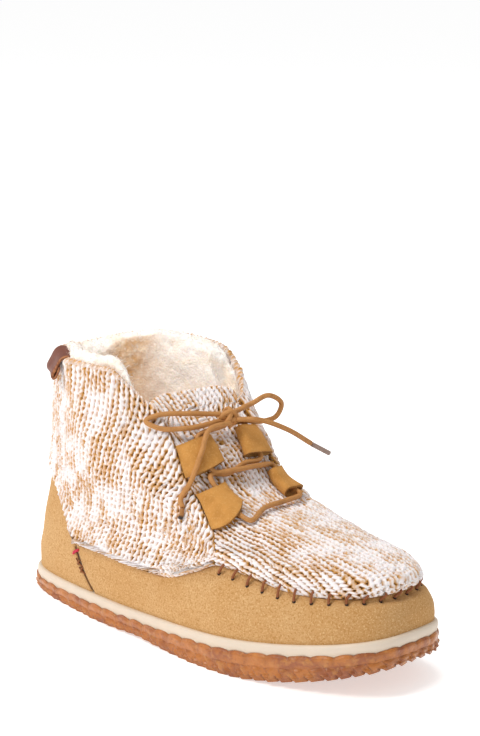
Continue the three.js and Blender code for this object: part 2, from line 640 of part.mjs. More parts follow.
// Fleece collar: deep pile from the inside over the knit edge's inner half, in tufts, open at the front between
// the quarters. level is where it lies on the wall, inward the share of the pile's depth from the wall inwards,
// up the height above the knit edge as a share of the pile's rise.
const FLEECE_SECTION = [
  { level: 7.9, inward: 0, up: 0 },
  { level: 8.98, inward: 0, up: 0 },
  { level: 9, inward: -0.05, up: 0.08 },
  { level: 9, inward: -0.4, up: 0.12 },
  { level: 9, inward: -0.46, up: 0.5 },
  { level: 9, inward: -0.25, up: 0.88 },
  { level: 9, inward: 0.15, up: 1 },
  { level: 9, inward: 0.66, up: 0.72 },
  { level: 9, inward: 1, up: 0.1 },
  { level: 8.5, inward: 1.05, up: 0 },
  { level: 7.9, inward: 0.6, up: 0 },
];
const FREE_FROM = 3; // rows of the section between which the pile is in tufts
const FREE_TO = 9;
const TUFTS_ALONG = 2.4; // radians from one column to the next
const TUFTS_ACROSS = 1.9; // and from one row to the next

function fleeceCollar() {
  const from = -edgeAngle(COLLAR, -1) + FLEECE_SHORT;
  const to = edgeAngle(COLLAR, 1) - FLEECE_SHORT;
  const wallInside = WALL + SUEDE + 5 * GAP;
  const loops = Array.from({ length: FLEECE_COLUMNS + 1 }, (_, k) => {
    const angle = mix(from, to, k / FLEECE_COLUMNS);
    const rise = mix(FLEECE_RISE_INNER, FLEECE_RISE, 0.5 + 0.5 * Math.sin(angle));
    return FLEECE_SECTION.map(({ level, inward, up }, j) => {
      const free = j > FREE_FROM && j < FREE_TO ? 1 : 0;
      const tuft = free * (0.5 + 0.5 * Math.sin(k * TUFTS_ALONG + j * TUFTS_ACROSS)) * TUFT;
      const depth = wallInside + inward * FLEECE_PILE + (inward > 0 ? tuft : 0);
      const p = offsetPoint(angle, level, -depth);
      p.z += up * (rise + tuft);
      return p;
    });
  });
  return sweep(loops);
}
add("fleece_collar", fleeceCollar(), "fleece");

// Lace tabs: folded suede, sewn in at the quarters' front edges, with a channel for the lace at the fold.
// Each pair is for the tab's lower and upper edge: rear and front are levels at the root and at the fold, and
// fold is the angle of the fold from the ridge.
const TABS = [
  { name: "outer_low", side: 1, rear: [5.6, 6.95], front: [6.72, 7.31], fold: [0.312, 0.228] },
  { name: "outer_high", side: 1, rear: [7.41, 8.07], front: [7.71, 8.2], fold: [0.09, 0.048] },
  { name: "inner_high", side: -1, rear: [7.6, 8.1], front: [7.74, 8.27], fold: [0.037, 0.069] },
  { name: "inner_low", side: -1, rear: [6.49, 7.28], front: [6.75, 7.36], fold: [0.175, 0.206] },
];
const TAB_TUCK = 0.02; // how far a tab starts past the quarter's front edge, angle
const TAB_HEIGHT = TAB_LEAF * 2 + LACE_DIAMETER + 2 * TAB_PLAY;
const TAB_PROFILE = [0.4, 0.55, 0.8, 0.98, 1, 0.9]; // outer face over the tongue from root to fold, as shares

const mirrorRows = (grid) => grid.map((row) => [...row].reverse());

// Place on a tab: reach 0 at the quarter and 1 at the fold, rise 0 at the lower edge and 1 at the upper one
function tabPlace(tab, reach, rise) {
  const rearLevel = mix(...tab.rear, rise);
  const rearAngle = edgeAngle(rearLevel, tab.side) + TAB_TUCK;
  const frontAngle = Math.PI - mix(...tab.fold, rise);
  const angle = mix(rearAngle, frontAngle, reach);
  const level = mix(rearLevel, mix(...tab.front, rise), reach);
  return [tab.side > 0 ? angle : 2 * Math.PI - angle, level];
}

function laceTab(tab) {
  const block = (reaches, rises, outer, inner) => {
    const grid = (offset) =>
      rises.map((rise) => reaches.map((reach, i) => offsetPoint(...tabPlace(tab, reach, rise), offset(i))));
    const [o, n] = [grid(outer), grid(inner)];
    return solidOf(tab.side > 0 ? slab(o, n) : slab(mirrorRows(o), mirrorRows(n)));
  };
  const reaches = TAB_PROFILE.map((_, i) => i / (TAB_PROFILE.length - 1));
  const body = block(reaches, [0, 0.5, 1], (i) => TAB_CLEAR + TAB_PROFILE[i] * TAB_HEIGHT, () => TAB_CLEAR);
  const channel = block(
    [CHANNEL_FROM, (CHANNEL_FROM + CHANNEL_TO) / 2, CHANNEL_TO],
    [-0.3, 0.5, 1.3],
    () => TAB_CLEAR + TAB_HEIGHT - TAB_LEAF,
    () => TAB_CLEAR + TAB_LEAF,
  );
  return geometryFrom(body.subtract(channel));
}
TABS.forEach((tab) => add("lace_tab_" + tab.name, laceTab(tab), "suede"));

// Lace
const circle = (diameter, sides) =>
  new THREE.Shape(
    Array.from({ length: sides }, (_, i) => {
      const a = (2 * Math.PI * i) / sides;
      return new THREE.Vector2((Math.cos(a) * diameter) / 2, (Math.sin(a) * diameter) / 2);
    }),
  );

function cord(points, steps) {
  const path = new THREE.CatmullRomCurve3(points, false, "centripetal");
  return new THREE.ExtrudeGeometry(circle(LACE_DIAMETER, 8), { steps, bevelEnabled: false, extrudePath: path });
}

const overFace = (fromRidge, level, height) => offsetPoint(Math.PI - fromRidge, level, height);
const inChannel = (tab, rise) => {
  const [angle, level] = tabPlace(tab, (CHANNEL_FROM + CHANNEL_TO) / 2, rise);
  return offsetPoint(angle, level, TAB_CLEAR + TAB_HEIGHT / 2);
};
const [outerLow, outerHigh, innerHigh, innerLow] = TABS;
const LACE_HEIGHT = 3.6; // of the bars between the tabs, over the vamp's face
const KNOT = overFace(-0.02, 8.44, KNOT_HEIGHT);
const byKnot = (rows) => rows.map(([x, y, z]) => new THREE.Vector3(KNOT.x + x, KNOT.y + y, KNOT.z + z));
const crossings = [
  ...byKnot([[0.6, -2.6, -5.6]]),
  inChannel(outerHigh, 1.1),
  inChannel(outerHigh, 0.5),
  inChannel(outerHigh, -0.1),
  overFace(0.06, 7.52, LACE_HEIGHT + 1.2),
  overFace(-0.09, 7.5, LACE_HEIGHT + 1),
  inChannel(innerLow, 1.12),
  inChannel(innerLow, 0.5),
  inChannel(innerLow, -0.15),
  overFace(-0.12, 6.62, LACE_HEIGHT - 1),
  overFace(0.12, 6.58, LACE_HEIGHT - 1),
  inChannel(outerLow, -0.3),
  inChannel(outerLow, 0.5),
  inChannel(outerLow, 1.35),
  overFace(0.1, 7.5, LACE_HEIGHT - 1.1),
  overFace(-0.02, 7.62, LACE_HEIGHT - 0.9),
  inChannel(innerHigh, -0.12),
  inChannel(innerHigh, 0.5),
  inChannel(innerHigh, 1.25),
  ...byKnot([[0.9, 3, -5.4]]),
];
add("lace_crossings", geometryFrom(solidOf(cord(crossings, 44))), "lace");

// Knot over the tongue above the top tabs; the bow and the ends start at it
const KNOT_CORE = [3.6, 4.6, 3.4];
const KNOT_BAND = 3.4; // radius of the turn round the knot
const KNOT_TILT = 0.5;
const KNOT_TURN = 0.4;
const LOOSE_LACE = /^(lace_(knot|bow|end)|aglet)/;
function knot() {
  const core = new THREE.SphereGeometry(1, 8, 5).scale(...KNOT_CORE);
  const band = new THREE.TorusGeometry(KNOT_BAND, LACE_DIAMETER / 2, 6, 10);
  band.rotateX(Math.PI / 2 - KNOT_TILT).rotateZ(KNOT_TURN);
  const made = solidOf(core).add(solidOf(band));
  return geometryFrom(made).translate(KNOT.x, KNOT.y, KNOT.z);
}
add("lace_knot", knot(), "lace");

const BOW_OUTER = [
  [-1, -4.8, 1.6],
  [-9, -20, 3],
  [-18, -34, 3],
  [-22, -40, 0],
  [-15, -37, -3.2],
  [-5, -24, -3.4],
  [0, -4.9, -1.8],
];
const BOW_INNER = [
  [1, 4.8, 1.7],
  [4, 15, 5],
  [7, 25, 8.5],
  [9, 34, 3],
  [8, 31, -4],
  [4, 22, -6],
  [2, 4.8, -1.7],
];
const END_OUTER = [[4.6, -3.2, -2.4]];
const END_INNER = [
  [4.7, 2.5, -1.5],
  [13, 11, -1.6],
  [19, 28, -8.8],
  [22, 44.5, -18.8],
];
const AGLET_INNER = [
  [22.2, 45.2, -19.4],
  [26, 56, -25.8],
];
add("lace_bow_outer", cord(byKnot(BOW_OUTER), 14), "lace");
add("lace_bow_inner", cord(byKnot(BOW_INNER), 13), "lace");
const endOuter = [
  ...byKnot(END_OUTER),
  overFace(0.1, 8.2, 10.4),
  overFace(0.32, 7.85, 10),
  overFace(0.6, 7.3, 7.2),
  overFace(0.96, 6.62, 4.8),
  overFace(1.05, 6.34, 4.4),
];
add("lace_end_outer", cord(endOuter, 14), "lace");
add("lace_end_inner", cord(byKnot(END_INNER), 8), "lace");
const agletOuter = [overFace(1.075, 6.27, 4.5), overFace(1.24, 5.73, 4.05)];
add("aglet_outer", cord(agletOuter, 1), "aglet");
add("aglet_inner", cord(byKnot(AGLET_INNER), 1), "aglet");

// Pull tab: a leather strap from the top of the knit edge out to a fold and back to the knit. Rows: outwards from
// the quarter's face, up from the knit edge.
const PULL_TAB_LINE = [
  [-3, 1.5],
  [-0.6, 2],
  [1.8, 0.6],
  [4.2, -3.6],
  [6.3, -8],
  [6, -9.6],
  [4.8, -9],
  [3.4, -6.4],
  [2.1, -3.2],
];
const PULL_TAB_COLUMNS = 4;

function pullTab() {
  const line = PULL_TAB_LINE.map(([out, up]) => new THREE.Vector2(out, up));
  const side = (sign) =>
    line.map((p, i) => {
      const along = line[Math.min(i + 1, line.length - 1)].clone().sub(line[Math.max(i - 1, 0)]).normalize();
      return new THREE.Vector2(-along.y, along.x).multiplyScalar((sign * PULL_TAB_LEATHER) / 2).add(p);
    });
  const section = [...side(-1), ...side(1).reverse()];
  const away = faceNormal((PULL_TAB_FROM + PULL_TAB_TO) / 2, COLLAR);
  away.z = 0;
  away.normalize();
  return sweep(
    Array.from({ length: PULL_TAB_COLUMNS + 1 }, (_, k) => {
      const angle = mix(PULL_TAB_FROM, PULL_TAB_TO, k / PULL_TAB_COLUMNS);
      const root = offsetPoint(angle, COLLAR, QUARTER_STEP);
      return section.map(({ x: out, y: up }) => {
        const p = root.clone().addScaledVector(away, out);
        p.z += up;
        return p;
      });
    }),
  );
}
add("pull_tab", pullTab(), "label");

// Origin: under the middle of the shoe's box, measured without the loose lace
parts.updateMatrixWorld(true);
const box = new THREE.Box3();
parts.children.filter((mesh) => !LOOSE_LACE.test(mesh.name)).forEach((mesh) => box.expandByObject(mesh));
const middle = box.getCenter(new THREE.Vector3());
parts.children.forEach((mesh) => mesh.geometry.translate(-middle.x, -middle.y, -box.min.z));

export default parts;
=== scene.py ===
"""Slipper bootie for a right foot: marled knit, suede wall, plush collar, laced tabs and a gum cup sole.

Every piece is a numpy surface over one last. A place on the last has an angle (0 at the heel, pi at the toe,
the outer side between them) and a level (0 at the sole line, 9 at the collar). Shapes are worked out in
millimetres and put into the meshes in metres.
"""

import logging
import math
from dataclasses import dataclass, field
from enum import IntEnum
from typing import Callable, Sequence

import bmesh
import bpy
import numpy as np
from mathutils import Matrix, Vector
from numpy.typing import NDArray

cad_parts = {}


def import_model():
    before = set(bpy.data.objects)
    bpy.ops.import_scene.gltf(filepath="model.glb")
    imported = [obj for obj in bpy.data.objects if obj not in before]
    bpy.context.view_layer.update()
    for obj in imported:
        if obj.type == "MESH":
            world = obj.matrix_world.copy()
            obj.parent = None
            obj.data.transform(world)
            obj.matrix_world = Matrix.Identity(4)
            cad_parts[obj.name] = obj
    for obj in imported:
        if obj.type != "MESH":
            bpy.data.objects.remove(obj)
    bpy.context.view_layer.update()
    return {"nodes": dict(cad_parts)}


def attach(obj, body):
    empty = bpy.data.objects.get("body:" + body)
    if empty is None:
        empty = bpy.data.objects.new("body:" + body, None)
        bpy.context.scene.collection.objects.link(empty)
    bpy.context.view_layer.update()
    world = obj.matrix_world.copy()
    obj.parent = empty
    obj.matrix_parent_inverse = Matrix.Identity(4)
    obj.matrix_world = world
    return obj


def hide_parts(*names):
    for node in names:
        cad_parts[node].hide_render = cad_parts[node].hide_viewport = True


Array = NDArray[np.float64]
Piece = bpy.types.Object
Tree = bpy.types.NodeTree
Socket = bpy.types.NodeSocket
# Metres in a millimetre, and the scale that gives a noise a grain of one millimetre
MM = 0.001
PER_METRE = 1000.0
LOG = logging.getLogger("bootie")


class Side(IntEnum):
    """Side of the shoe, as the sign of the angle's sine there."""

    OUTER = 1
    INNER = -1


def smooth(xs: Sequence[float], ys: Array | Sequence[float], x: Array) -> Array:
    """Cubic through the pairs (xs, ys), whose slope at a pair is the harmonic mean of the slopes beside it.

    Args:
        xs: Places of the pairs, rising.
        ys: Values at the pairs, or one column of them for each element of x.
        x: Places asked for.
    Returns:
        The curve's values at x.
    """
    xs = np.asarray(xs, float)
    ys = np.asarray(ys, float)
    x = np.clip(np.asarray(x, float), xs[0], xs[-1])
    gaps = np.diff(xs).reshape((-1,) + (1,) * (ys.ndim - 1))
    slopes = np.diff(ys, axis=0) / gaps
    tangents = np.zeros_like(ys)
    tangents[0], tangents[-1] = slopes[0], slopes[-1]
    before, after = slopes[:-1], slopes[1:]
    both = before + after
    safe = np.where(np.abs(both) < 1e-12, 1.0, both)
    tangents[1:-1] = np.where(before * after <= 0, 0.0, 2 * before * after / safe)
    i = np.clip(np.searchsorted(xs, x, side="left") - 1, 0, len(xs) - 2)
    h = xs[i + 1] - xs[i]
    t = (x - xs[i]) / h
    if ys.ndim == 1:
        y0, y1, m0, m1 = ys[i], ys[i + 1], tangents[i], tangents[i + 1]
    else:
        k = np.arange(len(x))
        y0, y1, m0, m1 = ys[i, k], ys[i + 1, k], tangents[i, k], tangents[i + 1, k]
    rear = y0 * (1 + 2 * t) * (1 - t) ** 2 + m0 * h * t * (1 - t) ** 2
    return rear + y1 * t * t * (3 - 2 * t) + m1 * h * t * t * (t - 1)


def step(low: float, high: float, x: Array) -> Array:
    """Ease from 0 at low to 1 at high: 3t^2 - 2t^3."""
    t = np.clip((x - low) / (high - low), 0.0, 1.0)
    return t * t * (3 - 2 * t)


def bell(x: Array | float, middle: float, width: float) -> Array:
    """Bell that is 1 at its middle: exp(-((x - middle) / width)^2)."""
    return np.exp(-(((x - middle) / width) ** 2))


def circle(a: Array, b: Array, turn: Array) -> Array:
    """Directions round a circle at each station: a times cos turn plus b times sin turn."""
    return a[:, None] * np.cos(turn)[None, :, None] + b[:, None] * np.sin(turn)[None, :, None]


def unit(v: Array) -> Array:
    """Vectors brought to length 1."""
    return v / np.maximum(np.linalg.norm(v, axis=-1, keepdims=True), 1e-12)


def chance(cells: NDArray[np.int64], seed: int) -> Array:
    """Even random number from 0 to 1 for each row of whole numbers, always the same for the same row.

    Args:
        cells: Whole numbers, the last axis being the cell's coordinates.
        seed: Another pattern for each seed.
    Returns:
        One number for each cell.
    """
    # A hash: whole numbers are mixed by odd factors and shifts within 32 bits, and 24 bits of them are kept
    mask = np.int64(0xFFFFFFFF)
    h = np.full(cells.shape[:-1], seed * 7919 + 17, dtype=np.int64)
    for axis, prime in zip(range(cells.shape[-1]), (73856093, 19349663, 83492791)):
        h = (h ^ (cells[..., axis] * prime)) & mask
        h = ((h ^ (h >> 15)) * 739982445) & mask
    h = ((h ^ (h >> 12)) * 695872825) & mask
    return ((h ^ (h >> 15)) & 0xFFFFFF) / float(0xFFFFFF)


def drift(p: Array, size: float, seed: int) -> Array:
    """Soft noise from -1 to 1: random values at the corners of cells of a size, eased between them.

    Args:
        p: Places, with two or three coordinates.
        size: Edge of a cell.
        seed: Another pattern for each seed.
    Returns:
        The noise at each place.
    """
    q = np.asarray(p, float) / size
    base = np.floor(q).astype(np.int64)
    f = q - base
    f = f * f * (3 - 2 * f)
    total = np.zeros(q.shape[:-1])
    for corner in np.ndindex(*(2,) * q.shape[-1]):
        bits = np.array(corner)
        weight = np.prod(np.where(bits == 1, f, 1 - f), axis=-1)
        total += weight * chance(base + bits, seed)
    return total * 2 - 1


def layers(p: Array, size: float, seed: int, count: int = 3) -> Array:
    """Sum of drift at size, size/2, size/4 and so on, each half as strong."""
    return sum(drift(p, size / 2**k, seed + k) / 2**k for k in range(count)) / (2 - 0.5 ** (count - 1))


# Shares of the last's length, rise and half width at each level line
COLUMNS = (
    "back", "front", "z_heel", "z_mid", "z_ball", "z_toe", "out_heel", "out_mid", "out_ball", "out_toe",
    "in_heel", "in_mid", "in_ball", "in_toe", "swing", "square", "skew", "in_rise",
)
# One row for each level line, from the sole line to the collar; the columns are those above
LEVELS = (
    (0, 1, 0.004, 0, 0.016, 0.02, 0.72, 0.84, 1.05, 1, 0.75, 0.69, 0.94, 1.02, 0.11, 3.2, 0, 0),
    (0, 0.998, 0.09, 0.085, 0.1, 0.09, 0.73, 0.86, 1.06, 1.01, 0.75, 0.71, 0.95, 1.03, 0.11, 3.1, 0, 0),
    (0.008, 0.987, 0.17, 0.17, 0.2, 0.155, 0.71, 0.86, 0.99, 0.95, 0.73, 0.73, 0.92, 1, 0.11, 3, 0, 0),
    (0.015, 0.966, 0.25, 0.25, 0.277, 0.2, 0.69, 0.85, 0.87, 0.87, 0.72, 0.75, 0.87, 1, 0.1, 2.8, 0, 0),
    (0.024, 0.966, 0.33, 0.33, 0.335, 0.27, 0.67, 0.82, 0.84, 0.82, 0.71, 0.76, 0.87, 1, 0.1, 2.6, 0, 0),
    (0.035, 0.875, 0.42, 0.42, 0.39, 0.371, 0.635, 0.78, 0.8, 0.76, 0.7, 0.77, 0.87, 0.92, 0.09, 2.4, 0, 0),
    (0.048, 0.74, 0.52, 0.52, 0.46, 0.44, 0.595, 0.74, 0.75, 0.74, 0.69, 0.78, 0.9, 0.95, 0.06, 2.6, 0.03, 0),
    (0.06, 0.6, 0.66, 0.66, 0.59, 0.526, 0.553, 0.69, 0.71, 0.71, 0.68, 0.82, 0.9, 0.95, 0.03, 3, 0.07, 0),
    (0.07, 0.52, 0.85, 0.84, 0.77, 0.714, 0.525, 0.67, 0.69, 0.68, 0.69, 0.84, 0.94, 0.96, 0, 3.6, 0.11, 0.03),
    (0.087, 0.43, 1.04, 1.035, 1.035, 0.87, 0.46, 0.68, 0.7, 0.68, 0.7, 0.9, 1, 1, 0, 4.6, 0.15, 0.06),
)


@dataclass(frozen=True)
class Last:
    """The form that every piece is laid on: closed level lines from the sole line up to the collar.

    The suede's upper edge is given as levels at shares along the shoe, the quarters' front edges as shares
    along the shoe at levels.
    """

    length: float = 262.0
    half_width: float = 46.0
    rise: float = 122.5
    sole_height: float = 12.3
    bed_slope: float = 0.0314
    toe_spring: float = 10.0
    shift: tuple[float, float] = (130.7743, -0.7580)
    suede_along: tuple[float, ...] = (0, 0.05, 0.1, 0.165, 0.195, 0.3, 0.5, 0.6, 0.65, 0.75, 0.84, 0.95, 1)
    suede_level: tuple[float, ...] = (5.9, 5.6, 4.8, 3.1, 2.3, 2.45, 2.2, 2.8, 3.35, 2.95, 2.68, 2.95, 3.2)
    edge_level: tuple[float, ...] = (2.4, 2.9, 3.4, 4.3, 5.6, 6.3, 6.9, 7.6, 8.3, 9)
    edge_outer: tuple[float, ...] = (0.56, 0.625, 0.648, 0.655, 0.745, 0.815, 0.878, 0.91, 0.945, 0.972)
    edge_inner: tuple[float, ...] = (0.56, 0.625, 0.648, 0.66, 0.77, 0.87, 0.925, 0.95, 0.972, 0.98)
    throat_level: float = 6.3
    collar: float = 9.0

    def lift(self, x: Array) -> Array:
        """Rise of the sole line towards the toe: the toe spring times the square of the share past 0.62."""
        toe = np.clip((np.asarray(x) / self.length - 0.62) / 0.38, 0, 1.05)
        return self.toe_spring * toe * toe

    def on_bed(self, x: Array, y: Array, height: Array) -> Array:
        """Place at a height over the bed, which slopes up from the heel, in the part's frame."""
        turn = math.atan(self.bed_slope)
        return np.stack(
            [
                x * math.cos(turn) - height * math.sin(turn) - self.shift[0],
                y - self.shift[1],
                self.sole_height + x * math.sin(turn) + height * math.cos(turn),
            ],
            axis=-1,
        )

    def face(self, angle: Array, level: Array) -> Array:
        """Point of the upper's outer face.

        Along a level the share s is (1 - cos angle) / 2. x runs from back to front with s, y is the half
        width at s times a superellipse's roundness, and the height blends the level's four heights with s;
        the inner side stands higher by its own rise, which is greatest a third of the way along.

        Args:
            angle: 0 at the heel, pi at the toe; the outer side has a positive sine.
            level: 0 at the sole line, 9 at the collar.
        Returns:
            Places in millimetres, with one more axis than the arguments.
        """
        angle, level = np.broadcast_arrays(np.asarray(angle, float), np.asarray(level, float))
        shape = angle.shape
        a, lv = angle.ravel(), level.ravel()
        values = np.array(LEVELS, dtype=float)
        top = len(values) - 1
        beyond = np.maximum(0, lv - top)
        step_up = values[top] - values[top - 1]
        row = {}
        for k, name in enumerate(COLUMNS):
            row[name] = smooth(np.arange(top + 1), values[:, k], lv) + beyond * step_up[k]
        s = (1 - np.cos(a)) / 2
        blend = s * s * (3 - 2 * s)
        power = 2.3 + (row["square"] - 2.3) * blend
        roundness = (1 - np.minimum(1, np.abs(np.cos(a)) ** power)) ** (1 / power)
        outer = np.sin(a) >= 0

        def widths(side: str) -> Array:
            """Half widths along the level on one side, as columns of the smooth curve."""
            return np.array([row[side + end] for end in ("_heel", "_heel", "_mid", "_ball", "_toe", "_toe")])

        places = (0, 0.13, 0.4, 0.7, 0.9, 1)
        width = np.where(outer, smooth(places, widths("out"), s), smooth(places, widths("in"), s))
        x = self.length * (row["back"] + (row["front"] - row["back"]) * s)
        heights = np.array([row["z_heel"], row["z_mid"], row["z_ball"], row["z_toe"]])
        inner_rise = np.where(outer, 0.0, row["in_rise"] * s * (1 - s) ** 2 * 27 / 4)
        z = self.rise * (smooth((0, 0.4, 0.7, 1), heights, s) + inner_rise)
        bend = np.clip((s - 0.45) / 0.55, 0, 1)
        y = np.where(outer, -1, 1) * self.half_width * width * roundness
        y = y + self.half_width * row["swing"] * bend * bend
        low = np.clip(1 - lv / 5, 0, 1)
        out = self.on_bed(x + row["skew"] * y, y, z + self.lift(x) * np.sqrt(low))
        return out.reshape(shape + (3,))

    def normal(self, angle: Array, level: Array) -> Array:
        """Outward unit normal: the cross product of the steps along and up."""
        d = 0.02
        along = self.face(angle + d, level) - self.face(angle - d, level)
        up = self.face(angle, level + d) - self.face(angle, np.maximum(0, np.asarray(level) - d))
        return unit(np.cross(along, up))

    def offset(self, angle: Array, level: Array, out: Array | float) -> Array:
        """Face moved outwards by a distance."""
        angle, level, out = np.broadcast_arrays(np.asarray(angle, float), np.asarray(level, float), out)
        return self.face(angle, level) + self.normal(angle, level) * np.asarray(out)[..., None]

    def suede_top(self, angle: Array) -> Array:
        """Level of the suede's upper edge."""
        return smooth(self.suede_along, self.suede_level, (1 - np.cos(angle)) / 2)

    def edge(self, level: Array | float, side: Side) -> Array:
        """Angle of a quarter's front edge, from the heel on its own side."""
        shares = self.edge_outer if side is Side.OUTER else self.edge_inner
        return np.arccos(1 - 2 * np.clip(smooth(self.edge_level, shares, level), 0, 1))

    def collar_top(self, angle: Array) -> Array:
        """Level of the knit's upper edge, which dips at the quarters' front corners."""
        along = np.clip(((1 - np.cos(angle)) / 2 - 0.86) / 0.115, 0, 1)
        return self.collar - 0.15 * along**1.5

    def sole_line(self, count: int) -> tuple[Array, Array, Array]:
        """Ring of places along the upper's lower edge, evenly spaced on each side.

        Args:
            count: How many places.
        Returns:
            The places, their outward level normals, and the length along the line to each.
        """
        fine = 1440
        angles = np.linspace(0, 2 * np.pi, fine + 1)
        line = self.face(angles, np.zeros(fine + 1))
        run = np.concatenate([[0], np.cumsum(np.linalg.norm(np.diff(line[:, :2], axis=0), axis=1))])
        t = np.arange(count) / count
        mid = run[fine // 2]
        wanted = np.where(t <= 0.5, mid * t * 2, mid + (run[-1] - mid) * (t - 0.5) * 2)

        def at(length: Array) -> Array:
            """Places at lengths along the line."""
            return np.stack([np.interp(length % run[-1], run, line[:, k]) for k in range(3)], axis=-1)

        tangent = at(wanted + 0.5) - at(wanted - 0.5)
        normal = unit(np.stack([tangent[:, 1], -tangent[:, 0], np.zeros(count)], axis=-1))
        return at(wanted), normal, wanted

    def sole_top(self, x: Array) -> Array:
        """Height of the upper's lower edge at a place along the shoe."""
        along = np.clip(x + self.shift[0], 0, self.length)
        level = self.rise * smooth((0, 0.4, 0.7, 1), LEVELS[0][2:6], along / self.length)
        return self.sole_height + self.bed_slope * (x + self.shift[0]) + level + self.lift(along)

    def tread(self, x: Array) -> Array:
        """Height of the tread: flat under heel and ball, raised at arch, toe and a little at the back."""
        s = (x + self.shift[0]) / self.length
        heel = np.clip((0.12 - s) / 0.12, 0, 1.1)
        arch = np.clip(1 - np.abs(s - 0.42) / 0.13, 0, 1)
        toe = np.clip((s - 0.68) / 0.32, 0, 1.05)
        return 16.5 * toe**1.8 + 1.6 * heel * heel + 1.6 * arch * arch * (3 - 2 * arch)


LAST = Last()


@dataclass
class Shell:
    """Vertices and faces of one piece, gathered from grids, with a map and a tint at each vertex."""

    name: str
    points: list[Array] = field(default_factory=list)
    maps: list[Array] = field(default_factory=list)
    tints: list[Array] = field(default_factory=list)
    quads: list[NDArray[np.int64]] = field(default_factory=list)
    count: int = 0

    def add(self, points: Array, uv: Array | None = None, tint: Array | float = 0.0) -> int:
        """Adds points without faces.

        Args:
            points: Places in millimetres, on any number of axes.
            uv: Map of each point, in millimetres.
            tint: Share of the second colour at each point.
        Returns:
            The number of the first one.
        """
        shape = points.shape[:-1]
        self.points.append(points.reshape(-1, 3))
        self.maps.append(np.zeros((self.points[-1].shape[0], 2)) if uv is None else uv.reshape(-1, 2))
        self.tints.append(np.broadcast_to(tint, shape).reshape(-1).astype(float))
        first = self.count
        self.count += self.points[-1].shape[0]
        return first

    def grid(
        self,
        points: Array,
        uv: Array | None = None,
        tint: Array | float = 0.0,
        around: bool = False,
        flip: bool = False,
    ) -> None:
        """Adds a sheet of quads over a grid of points.

        Args:
            points: Places, as rows by columns by 3, rows outwards to the left of columns.
            uv: Map of each point.
            tint: Share of the second colour.
            around: Joins the last column to the first.
            flip: Turns the faces over.
        """
        rows, cols = points.shape[:2]
        first = self.add(points, uv, tint)
        row = np.arange(rows - 1)[:, None] * cols
        i = np.arange(cols if around else cols - 1)[None, :]
        i_next = (i + 1) % cols
        corners = [row + i, row + i_next, row + cols + i_next, row + cols + i]
        quads = np.stack([c.ravel() for c in corners], axis=-1) + first
        self.quads.append(quads[:, ::-1] if flip else quads)

    def build(self, finish: "Finish", merge: float = 0.0, outwards: bool = False) -> Piece:
        """Puts the gathered faces into a mesh object at the origin.

        Args:
            finish: Material of the piece.
            merge: Distance in millimetres below which vertices are joined.
            outwards: Has the faces turned outwards as a closed body.
        Returns:
            The new object.
        """
        points = np.concatenate(self.points) * MM
        quads = np.concatenate(self.quads).astype(np.int32)
        mesh = bpy.data.meshes.new(self.name)
        mesh.vertices.add(len(points))
        mesh.vertices.foreach_set("co", points.astype(np.float32).ravel())
        mesh.loops.add(quads.size)
        mesh.loops.foreach_set("vertex_index", quads.ravel())
        mesh.polygons.add(len(quads))
        mesh.polygons.foreach_set("loop_start", np.arange(0, quads.size, 4, dtype=np.int32))
        mesh.polygons.foreach_set("use_smooth", np.ones(len(quads), dtype=bool))
        mesh.update(calc_edges=True)
        uv = mesh.uv_layers.new(name="Map")
        uv.data.foreach_set("uv", np.concatenate(self.maps)[quads.ravel()].astype(np.float32).ravel())
        tint = mesh.attributes.new("tint", "FLOAT", "POINT")
        tint.data.foreach_set("value", np.concatenate(self.tints).astype(np.float32))
        mesh.validate()
        if merge or outwards:
            self.clean(mesh, merge, outwards)
        piece = bpy.data.objects.new(self.name, mesh)
        bpy.context.scene.collection.objects.link(piece)
        mesh.materials.append(finish.material())
        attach(piece, "root")
        LOG.info("%s: %d vertices, %d faces", self.name, len(mesh.vertices), len(mesh.polygons))
        return piece

    @staticmethod
    def clean(mesh: bpy.types.Mesh, merge: float, outwards: bool) -> None:
        """Joins vertices that lie together, and turns the faces outwards.

        Args:
            mesh: The mesh that is changed.
            merge: Distance in millimetres.
            outwards: Whether the normals are worked out anew.
        """
        work = bmesh.new()
        work.from_mesh(mesh)
        if merge:
            bmesh.ops.remove_doubles(work, verts=work.verts, dist=merge * MM)
        if outwards:
            bmesh.ops.recalc_face_normals(work, faces=work.faces)
        work.to_mesh(mesh)
        work.free()


def sheet(
    name: str, finish: "Finish", points: Array, uv: Array | None, tint: Array | float, flip: bool = False
) -> Piece:
    """Piece of one sheet.

    Args:
        name: Name of the piece.
        finish: Its material.
        points: Places, as rows by columns by 3.
        uv: Map of each point.
        tint: Share of the second colour.
        flip: Turns the faces over.
    Returns:
        The new object.
    """
    shell = Shell(name)
    shell.grid(points, uv, tint, flip=flip)
    return shell.build(finish)


def linear(code: str) -> tuple[float, float, float, float]:
    """Linear colour of an sRGB hex code, with alpha 1."""
    parts = [int(code[k : k + 2], 16) / 255 for k in (0, 2, 4)]
    bright = [c / 12.92 if c <= 0.04045 else ((c + 0.055) / 1.055) ** 2.4 for c in parts]
    return (bright[0], bright[1], bright[2], 1.0)


def node(
    tree: Tree, kind: str, values: dict, links: dict | None = None, **settings: str
) -> bpy.types.Node:
    """Adds a shader node with its settings, its socket values and its links.

    Args:
        tree: The material's node tree.
        kind: Blender's name of the node type.
        values: Socket name or number to value.
        links: Socket name or number to the socket that feeds it.
        settings: Properties of the node itself.
    Returns:
        The new node.
    """
    made = tree.nodes.new(kind)
    for name, value in settings.items():
        setattr(made, name, value)
    for name, value in values.items():
        made.inputs[name].default_value = value
    for name, source in (links or {}).items():
        tree.links.new(source, made.inputs[name])
    return made


@dataclass(frozen=True)
class Speckle:
    """One layer of noise in a finish: its grain, its colour, the values it rises between, its strength."""

    size_mm: float
    colour: str
    low: float
    high: float
    strength: float
    detail: float = 3.0


